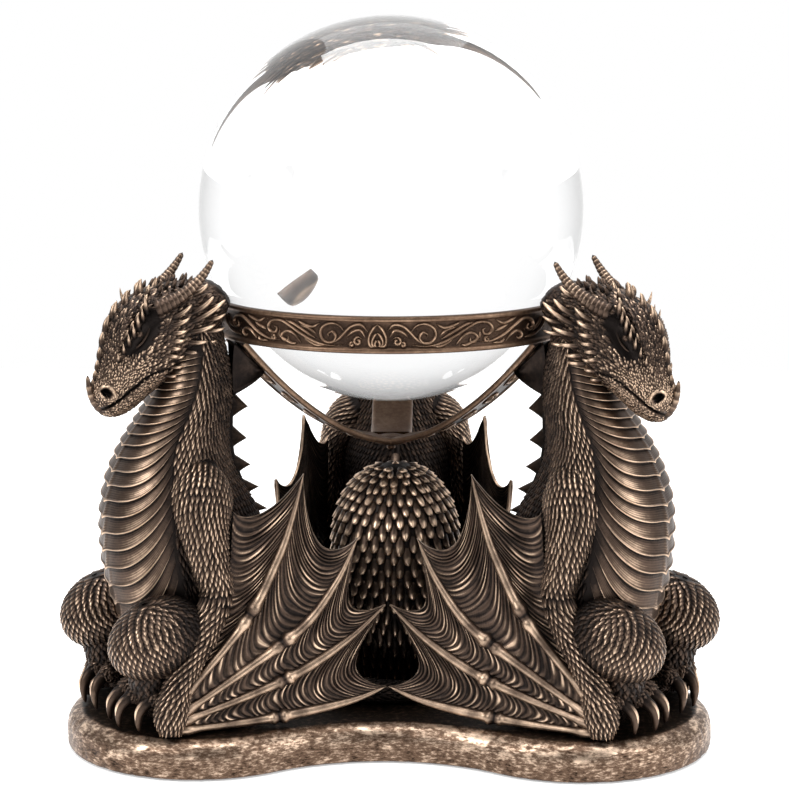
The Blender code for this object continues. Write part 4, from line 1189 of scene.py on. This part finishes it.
def build_egg():
    """The egg, in rows of tongue-shaped scales that each cover the gap between two above."""
    shape = Shape()
    skin(shape, EGG, 70, 72, 0.01, 1.0)
    places = []
    a = 0.055
    row = 0
    while a < 0.96:
        here = egg_point(a, 0.0)
        radius = here[0] - EGG_SHIFT
        count = 30 if radius > 9.0 else 20 if radius > 4.5 else 10
        spacing = float(np.interp(a, (0.0, 0.15, 0.35, 1.0), (2.0, 2.8, 3.4, 3.8)))
        for place in range(count):
            places.append((a, (place + 0.5 * (row % 2)) * TAU / count, spacing * 1.5, TAU * radius / count))
        a += spacing * 0.001 / float(np.linalg.norm(egg_point(a + 0.001, 0.0) - here))
        row += 1
    a, b, length, width = np.array(places).T
    width = np.minimum(width, 3.6) * RANDOM.normal(0.74, 0.04, len(a))
    length = length * RANDOM.normal(1.0, 0.06, len(a))
    # painted shade: the egg darkens from its middle down to its foot, which sits in shadow among the tails
    shine = 2.6 - 1.5 * ramp(a, 0.45, 0.8)
    lift = 0.45 + 0.5 * ramp(a, 0.0, 0.25)
    lay_scales(shape, EGG, a, b, length, width, lift, 0.70, template=TONGUE_SCALE, shine=shine,
               turn=RANDOM.normal(0.0, 0.06, len(a)))
    thorn(shape, (EGG_SHIFT, 0.0, EGG_TOP - 2.4), (EGG_SHIFT, 0.0, EGG_TOP - 0.4), 1.9, end=0.3, sides=12,
          rings=6, power=0.5)
    return shape


def turned(shape, profile, segments, wear):
    """Turns (radius, z) points, listed from bottom to top up the outside, about the axis."""
    radius, z = np.asarray(profile, float).T[:, :, None]
    angle = np.arange(segments) * TAU / segments
    points = np.stack([radius * np.cos(angle), radius * np.sin(angle),
                       np.broadcast_to(z, (len(profile), segments))], -1)
    shape.add(points, grid_quads(len(profile), segments, around=True), wear=np.repeat(wear, segments))


# (radius, height, wear) up the boss's outside
BOSS_PROFILE = (
    (0.02, 74.9, 0.3), (0.8, 75.0, 0.5), (1.2, 75.4, 0.5), (1.3, 75.8, 0.4),
    (1.0, 76.2, 0.1), (1.9, 76.5, 0.2), (3.6, 76.8, 0.3), (4.8, 77.2, 0.4),
    (5.2, 77.8, 0.45), (5.1, 78.4, 0.4), (4.7, 78.8, 0.3), (3.8, 79.0, 0.3),
    (3.4, 78.9, 0.2), (2.5, 79.3, 0.4), (1.2, 79.5, 0.5), (0.02, 79.6, 0.5),
)


def build_boss():
    """The button where the three straps meet, with a small turned drop below."""
    shape = Shape()
    profile = np.array(BOSS_PROFILE)
    turned(shape, profile[:, :2], 64, profile[:, 2])
    return shape


LOBE_DISTANCE = 60.3
LOBE_RADIUS = 38.6
NOTCH_RADIUS = 52.5
BASE_TOP = 8.0
# (inset, height) round the base's edge, from the recess for the felt up to the flat top
BASE_EDGE = ((4.5, -1.25), (2.8, -1.25), (2.6, -2.10), (1.4, -2.28), (0.3, -2.25), (0.0, -2.05),
             (-0.15, -1.5), (-0.25, -0.6), (-0.25, 0.6), (-0.25, 1.8), (-0.2, 3.0), (-0.05, 4.1),
             (0.25, 5.1), (0.75, 6.0),
             (1.5, 6.8), (2.5, 7.4), (3.5, 7.8), (4.4, BASE_TOP), (6.0, BASE_TOP), (10.0, BASE_TOP),
             (14.0, BASE_TOP), (20.0, BASE_TOP), (27.0, BASE_TOP))
# levels further in than this are not part of the hammered rim
RIM_INSET = 4.2
# (inset, height) round the felt's edge, from its underside up
PAD_EDGE = ((4.2, -2.4), (3.3, -2.38), (3.05, -2.1), (3.0, -1.7), (3.2, -1.4), (4.5, -1.35))


def trefoil(inset, per_arc=150):
    """The base's outline, moved inward by inset: convex lobes joined by tangent hollow arcs."""
    hollow = ((LOBE_RADIUS ** 2 - NOTCH_RADIUS ** 2 - LOBE_DISTANCE ** 2 + NOTCH_RADIUS * LOBE_DISTANCE)
              / (2.0 * NOTCH_RADIUS - LOBE_DISTANCE - 2.0 * LOBE_RADIUS))
    distance = NOTCH_RADIUS + hollow
    centre = distance * np.array((math.cos(SECTOR / 2.0), math.sin(SECTOR / 2.0)))
    lobe_end = math.atan2(centre[1], centre[0] - LOBE_DISTANCE)
    lobe = np.linspace(-lobe_end, lobe_end, per_arc)
    notch_end = math.radians(480.0) - lobe_end - math.pi
    notch = np.linspace(lobe_end + math.pi, notch_end, per_arc // 2 + 2)[1:-1]
    lobe_radius = LOBE_RADIUS - inset
    notch_radius = hollow + inset
    x = np.concatenate([LOBE_DISTANCE + lobe_radius * np.cos(lobe),
                        centre[0] + notch_radius * np.cos(notch)])
    y = np.concatenate([lobe_radius * np.sin(lobe),
                        centre[1] + notch_radius * np.sin(notch)])
    outline = []
    for turn in np.radians(DRAGON_DIRECTIONS):
        cosine, sine = math.cos(turn), math.sin(turn)
        outline.append(np.stack([x * cosine - y * sine, x * sine + y * cosine], -1))
    return np.concatenate(outline)


def dents(x, y, z):
    """A smooth uneven field of about one, like hammer marks on a cast surface, in millimetres."""
    broad = np.sin(x * 0.83 + 1.7 * np.sin(y * 0.61 + z))
    broad = broad * np.sin(y * 0.91 + 1.3 * np.sin(x * 0.53 - z * 0.7))
    small = np.sin(x * 1.9 + 2.1 * np.sin(y * 1.3) + z * 1.1)
    small = small * np.sin(y * 2.1 + 1.9 * np.sin(x * 1.1))
    return broad + 0.6 * small


def outline_stack(edge):
    """The base's outline at each (inset, height), one above the other."""
    outlines = [trefoil(inset) for inset, _ in edge]
    return np.array([np.column_stack([outline, np.full(len(outline), z)])
                     for outline, (_, z) in zip(outlines, edge)])


def close_stack(shape, points, wear):
    """Closes the lowest and the highest outline of a stack."""
    columns = points.shape[1]
    for level, flip in ((0, True), (-1, False)):
        cap = np.vstack([points[level], points[level].mean(axis=0)])
        shape.add(cap, triangles=fan(columns, columns, flip=flip), wear=wear)


def build_base():
    """The trefoil plinth: hammered and rubbed on its rim, with painted highlights towards the rim's upper
    bevel, dark on its top.
    """
    shape = Shape()
    points = outline_stack(BASE_EDGE)
    inset, height = np.array(BASE_EDGE).T[:, :, None]
    # painted highlight: the rim's tone rises towards its upper bevel
    tones = np.where((inset > 3.8) | (height < -2.2), 0.08, 0.42 + 0.10 * ramp(height, 2.0, 4.0))
    field = dents(points[..., 0], points[..., 1], points[..., 2])
    centre = points.mean(axis=1, keepdims=True)
    direction = unit((points - centre) * (1.0, 1.0, 0.0))
    rim = inset < RIM_INSET
    points = points + direction * (np.where(rim, np.minimum(field, 0.0) * 0.26, 0.0))[..., None]
    points[..., 2] += np.where(rim, 0.0, field * 0.06) * (points[..., 2] > 7.5)
    patches = ramp(dents(points[..., 0] * 0.3, points[..., 1] * 0.3, points[..., 2] * 0.5), 0.3, 1.0)
    # painted highlight: the bright patches fade out down the rim and are strongest on its upper part
    patches = patches * ramp(points[..., 2], -1.0, 5.0)
    tone = tones + np.where(rim, 0.12 * field + 0.30 * patches, 0.05 * field)
    shape.add(points, grid_quads(len(points), points.shape[1], around=True), wear=tone)
    close_stack(shape, points, 0.1)
    return shape


def build_pad():
    """Felt under the base, with a soft rounded edge."""
    shape = Shape()
    points = outline_stack(PAD_EDGE)
    shape.add(points, grid_quads(len(points), points.shape[1], around=True), wear=0.0)
    close_stack(shape, points, 0.0)
    return shape


def build_ball():
    """The ball, in rings of latitude close enough together for a clean refraction."""
    shape = Shape()
    rings, segments = 160, 320
    angle = np.linspace(0.0, math.pi, rings + 2)[1:-1]
    turn = np.arange(segments) * TAU / segments
    radius = BALL_RADIUS * np.sin(angle)[:, None]
    height = np.broadcast_to(-BALL_RADIUS * np.cos(angle)[:, None], (rings, segments))
    points = np.stack([radius * np.cos(turn), radius * np.sin(turn), height], -1)
    poles = np.array(((0.0, 0.0, -BALL_RADIUS), (0.0, 0.0, BALL_RADIUS)))
    points = np.concatenate([points.reshape(-1, 3), poles]) + (0.0, 0.0, BALL_CENTRE_Z)
    low = fan(segments, rings * segments, flip=True)
    high = fan(segments, rings * segments + 1, (rings - 1) * segments)
    shape.add(points, grid_quads(rings, segments, around=True), low + high, wear=0.0)
    return shape


# ---------------------------------------------------------------- materials


def new_material(name):
    material = bpy.data.materials.new(name)
    material.use_nodes = True
    nodes = material.node_tree.nodes
    return material, nodes, material.node_tree.links, nodes["Principled BSDF"]


def noise(nodes, links, coordinates, scale, detail=4.0, roughness=0.6):
    texture = nodes.new("ShaderNodeTexNoise")
    texture.inputs["Scale"].default_value = scale
    texture.inputs["Detail"].default_value = detail
    texture.inputs["Roughness"].default_value = roughness
    links.new(coordinates, texture.inputs["Vector"])
    return texture.outputs["Fac"]


def math_node(nodes, links, operation, first, second):
    node = nodes.new("ShaderNodeMath")
    node.operation = operation
    for socket, value in zip(node.inputs, (first, second)):
        if isinstance(value, (int, float)):
            socket.default_value = value
        else:
            links.new(value, socket)
    return node.outputs[0]


def map_range(nodes, links, value, from_low, from_high, to_low, to_high):
    node = nodes.new("ShaderNodeMapRange")
    node.interpolation_type = "SMOOTHSTEP"
    limits = {"From Min": from_low, "From Max": from_high, "To Min": to_low, "To Max": to_high}
    for name, limit in limits.items():
        node.inputs[name].default_value = limit
    links.new(value, node.inputs["Value"])
    return node.outputs["Result"]


def colour_ramp(nodes, links, factor, stops):
    node = nodes.new("ShaderNodeValToRGB")
    node.color_ramp.interpolation = "EASE"
    while len(node.color_ramp.elements) < len(stops):
        node.color_ramp.elements.new(0.5)
    for element, (position, colour) in zip(node.color_ramp.elements, stops):
        element.position = position
        element.color = (*colour, 1.0)
    links.new(factor, node.inputs["Fac"])
    return node.outputs["Color"]


def add_bump(nodes, links, shader, height, strength, distance):
    bumps = nodes.new("ShaderNodeBump")
    bumps.inputs["Strength"].default_value = strength
    bumps.inputs["Distance"].default_value = distance
    links.new(height, bumps.inputs["Height"])
    links.new(bumps.outputs["Normal"], shader.inputs["Normal"])


def bronze_material(name, recess, middle, bright, speckle=0.0, grain_scale=900.0, squash=1.0):
    """Patinated bronze: dark in recesses and painted shade, bright where the wear-and-shading value is high,
    from rubbed wear and painted highlights.

    speckle adds contrast to the fine grain, and squash presses its spots flat along z.
    """
    material, nodes, links, shader = new_material(name)
    coordinates = nodes.new("ShaderNodeTexCoord").outputs["Object"]
    attribute = nodes.new("ShaderNodeAttribute")
    attribute.attribute_name = "wear"
    broad = noise(nodes, links, coordinates, 90.0, 3.0)
    mapping = nodes.new("ShaderNodeMapping")
    mapping.inputs["Scale"].default_value = (1.0, 1.0, squash)
    links.new(coordinates, mapping.inputs["Vector"])
    fine = noise(nodes, links, mapping.outputs["Vector"], grain_scale, 6.0, 0.7)
    broad = math_node(nodes, links, "MULTIPLY_ADD", broad, 0.34)
    broad.node.inputs[2].default_value = -0.17
    grain = math_node(nodes, links, "MULTIPLY_ADD", fine, 0.30 + speckle)
    grain.node.inputs[2].default_value = -0.15 - speckle / 2.0
    level = math_node(nodes, links, "ADD", attribute.outputs["Fac"], broad)
    level = math_node(nodes, links, "ADD", level, grain)
    colour = colour_ramp(nodes, links, level, [(0.05, recess), (0.40, middle), (0.98, bright)])
    links.new(colour, shader.inputs["Base Color"])
    rough = nodes.new("ShaderNodeMapRange")
    rough.inputs["To Min"].default_value = 0.50
    rough.inputs["To Max"].default_value = 0.30
    links.new(level, rough.inputs["Value"])
    links.new(rough.outputs["Result"], shader.inputs["Roughness"])
    shader.inputs["Metallic"].default_value = 0.94
    add_bump(nodes, links, shader, fine, 0.35, 0.00012)
    return material


def felt_material():
    material, nodes, links, shader = new_material("black_felt")
    coordinates = nodes.new("ShaderNodeTexCoord").outputs["Object"]
    fibres = noise(nodes, links, coordinates, 1800.0, 8.0, 0.8)
    colour = colour_ramp(nodes, links, fibres, [(0.3, (0.006, 0.006, 0.007)), (0.7, (0.035, 0.034, 0.036))])
    links.new(colour, shader.inputs["Base Color"])
    shader.inputs["Roughness"].default_value = 0.95
    shader.inputs["Sheen Weight"].default_value = 0.5
    add_bump(nodes, links, shader, fibres, 0.8, 0.0003)
    return material


def glass_material():
    """Clear polished glass with the faintest haze of handling on its surface."""
    material, nodes, links, shader = new_material("clear_crystal")
    coordinates = nodes.new("ShaderNodeTexCoord").outputs["Object"]
    haze = noise(nodes, links, coordinates, 60.0, 6.0, 0.75)
    tint = colour_ramp(nodes, links, haze, [(0.2, (0.985, 0.99, 0.995)), (0.8, (1.0, 1.0, 1.0))])
    links.new(tint, shader.inputs["Base Color"])
    polish = nodes.new("ShaderNodeMapRange")
    polish.inputs["From Min"].default_value = 0.55
    polish.inputs["From Max"].default_value = 0.9
    polish.inputs["To Min"].default_value = 0.0
    polish.inputs["To Max"].default_value = 0.012
    links.new(haze, polish.inputs["Value"])
    links.new(polish.outputs["Result"], shader.inputs["Roughness"])
    shader.inputs["Transmission Weight"].default_value = 1.0
    shader.inputs["IOR"].default_value = 1.52
    return material


# ---------------------------------------------------------------- assembly


# colours of each bronze in a recess or painted shade, on plain metal, and where it is rubbed bright or
# carries a painted highlight
PATINATED = ((0.013, 0.010, 0.009), (0.080, 0.053, 0.039), (0.72, 0.52, 0.37))
RUBBED = ((0.016, 0.010, 0.008), (0.105, 0.062, 0.040), (0.66, 0.45, 0.30))
HAMMERED = ((0.014, 0.009, 0.006), (0.120, 0.074, 0.049), (0.72, 0.54, 0.40))


def place(name, mesh, material, body, slot, nodes, turn=0.0):
    """Makes a piece from a mesh, turned round the stand's axis and lifted, hangs it on its body and hides the
    frame's parts that it replaces.
    """
    piece = bpy.data.objects.new(name, mesh)
    bpy.context.scene.collection.objects.link(piece)
    if not mesh.materials:
        mesh.materials.append(material)
    piece.rotation_euler = (0.0, 0.0, math.radians(turn))
    piece.location = (0.0, 0.0, STAND_LIFT * MM)
    bpy.context.view_layer.update()
    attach(piece, body)
    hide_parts(*nodes)


def build_pieces():
    bronze = bronze_material("patinated_bronze", *PATINATED)
    warm = bronze_material("rubbed_bronze", *RUBBED)
    rim = bronze_material("hammered_bronze", *HAMMERED, speckle=1.5, grain_scale=620.0, squash=3.0)
    wing = build_wing()
    leg = build_leg()
    arm_strap = build_cradle_arm().mesh("cradle_strap")
    bracket = build_bracket().mesh("neck_bracket")
    meshes = {
        "torso": build_torso().mesh("dragon_torso"),
        "head": build_head().mesh("dragon_head"),
        "left_wing": wing.mesh("dragon_left_wing"),
        "right_wing": wing.mesh("dragon_right_wing", mirrored=True),
        "left_leg": leg.mesh("dragon_left_leg"),
        "right_leg": leg.mesh("dragon_right_leg", mirrored=True),
        "tail": build_tail().mesh("dragon_tail"),
        "back_crest": build_crest().mesh("dragon_crest"),
    }
    for number, direction in enumerate(DRAGON_DIRECTIONS, 1):
        swings = {"torso": NECK_SWINGS[number - 1], "back_crest": NECK_SWINGS[number - 1],
                  "head": HEAD_SWINGS[number - 1]}
        for label, mesh in meshes.items():
            place(f"scaled_{label}_{number}", mesh, bronze, "stand", "cast_bronze",
                  [f"dragon_{number}_{label}"], direction + swings.get(label, 0.0))
        place(f"carved_strap_{number}", arm_strap, warm, "stand", "cast_bronze",
              [f"cradle_arm_{number}"], direction)
        place(f"neck_gusset_{number}", bracket, bronze, "stand", "cast_bronze",
              [f"cradle_bracket_{number}"], direction)
    place("scaled_egg", build_egg().mesh("scaled_egg"), bronze, "stand", "cast_bronze", ["dragon_egg"])
    place("turned_boss", build_boss().mesh("turned_boss"), warm, "stand", "cast_bronze", ["cradle_boss"])
    place("carved_ring", build_ring().mesh("carved_ring", sharp=50.0), warm, "stand", "ring_bronze",
          ["ball_ring"])
    place("hammered_base", build_base().mesh("hammered_base"), rim, "stand", "cast_bronze", ["base_plinth"])
    place("felt_underlay", build_pad().mesh("felt_underlay"), felt_material(), "stand", "felt",
          ["felt_pad"])
    place("polished_ball", build_ball().mesh("polished_ball"), glass_material(), "ball", "clear_glass",
          ["crystal_ball"])


# ---------------------------------------------------------------- studio


def add_camera():
    camera_data = bpy.data.cameras.new("camera")
    camera_data.lens = 103.6
    camera_data.sensor_width = 36.0
    camera_data.clip_start = 0.01
    camera = bpy.data.objects.new("camera", camera_data)
    camera.location = (0.0146, -0.650, 0.204 + STAND_LIFT * MM)
    camera.rotation_euler = (math.radians(80.15), 0.0, math.radians(1.2))
    bpy.context.scene.collection.objects.link(camera)
    bpy.context.scene.camera = camera


def add_area(name, location, size, energy, target=(0.0, 0.0, 0.1)):
    light = bpy.data.lights.new(name, "AREA")
    light.shape = "RECTANGLE"
    light.size, light.size_y = size
    light.energy = energy
    lamp = bpy.data.objects.new(name, light)
    lamp.location = location
    direction = np.array(target) - np.array(location)
    pitch = math.atan2(math.hypot(direction[0], direction[1]), -direction[2])
    lamp.rotation_euler = (pitch, 0.0, math.atan2(direction[0], -direction[1]) + math.pi)
    lamp.visible_transmission = False
    bpy.context.scene.collection.objects.link(lamp)


def mix_value(nodes, links, factor, first, second):
    node = nodes.new("ShaderNodeMix")
    node.data_type = "FLOAT"
    links.new(factor, node.inputs["Factor"])
    links.new(first, node.inputs["A"])
    if isinstance(second, float):
        node.inputs["B"].default_value = second
    else:
        links.new(second, node.inputs["B"])
    return node.outputs["Result"]


def add_world():
    """A white backdrop that lights the metal from behind and above, and shades the glass at its sides."""
    world = bpy.data.worlds.new("studio")
    world.use_nodes = True
    nodes = world.node_tree.nodes
    links = world.node_tree.links
    background = nodes["Background"]
    direction = nodes.new("ShaderNodeTexCoord").outputs["Generated"]
    split = nodes.new("ShaderNodeSeparateXYZ")
    links.new(direction, split.inputs["Vector"])
    behind = map_range(nodes, links, split.outputs["Y"], -0.2, 0.55, 0.10, 1.08)
    above = map_range(nodes, links, split.outputs["Z"], 0.35, 0.9, 0.0, 0.62)
    backdrop = math_node(nodes, links, "MAXIMUM", behind, above)
    # through the glass the room is pale before and behind and grey at the sides
    sideways = math_node(nodes, links, "ABSOLUTE", split.outputs["Y"], 0.0)
    sideways = map_range(nodes, links, sideways, -0.10, 0.80, 0.10, 1.06)
    high = map_range(nodes, links, split.outputs["Z"], 0.55, 0.95, 1.0, 0.55)
    through_glass = math_node(nodes, links, "MULTIPLY", sideways, high)
    path = nodes.new("ShaderNodeLightPath")
    refracted = mix_value(nodes, links, path.outputs["Is Transmission Ray"], backdrop, through_glass)
    strength = mix_value(nodes, links, path.outputs["Is Camera Ray"], refracted, 1.0)
    links.new(strength, background.inputs["Strength"])
    background.inputs["Color"].default_value = (1.0, 1.0, 1.0, 1.0)
    bpy.context.scene.world = world
    bpy.context.scene.view_settings.view_transform = "Standard"
    bpy.context.scene.view_settings.look = "None"


FLOOR_HALF = 0.62
FLOOR_Z = -0.0004


def add_floor():
    mesh = bpy.data.meshes.new("floor")
    corners = ((-1.0, -1.0), (1.0, -1.0), (1.0, 1.0), (-1.0, 1.0))
    mesh.from_pydata([(x * FLOOR_HALF, y * FLOOR_HALF, FLOOR_Z) for x, y in corners], [], [(0, 1, 2, 3)])
    floor = bpy.data.objects.new("floor", mesh)
    bpy.context.scene.collection.objects.link(floor)
    material, nodes, links, shader = new_material("pale_floor")
    coordinates = nodes.new("ShaderNodeTexCoord").outputs["Object"]
    paper = noise(nodes, links, coordinates, 40.0)
    pale = colour_ramp(nodes, links, paper, [(0.0, (0.93, 0.93, 0.93)), (1.0, (0.96, 0.96, 0.96))])
    links.new(pale, shader.inputs["Base Color"])
    shader.inputs["Roughness"].default_value = 0.9
    shader.inputs["Emission Color"].default_value = (1.0, 1.0, 1.0, 1.0)
    shader.inputs["Emission Strength"].default_value = 0.4
    mesh.materials.append(material)


def add_studio():
    add_world()
    add_area("key_left", (-0.75, -0.75, 0.75), (0.6, 0.6), 9.0)
    add_area("fill_right", (0.85, -0.6, 0.5), (0.6, 0.8), 7.0)
    add_area("top", (0.0, 0.1, 1.1), (0.9, 0.9), 15.0)
    add_floor()


build_pieces()
add_camera()
add_studio()
bpy.context.view_layer.update()
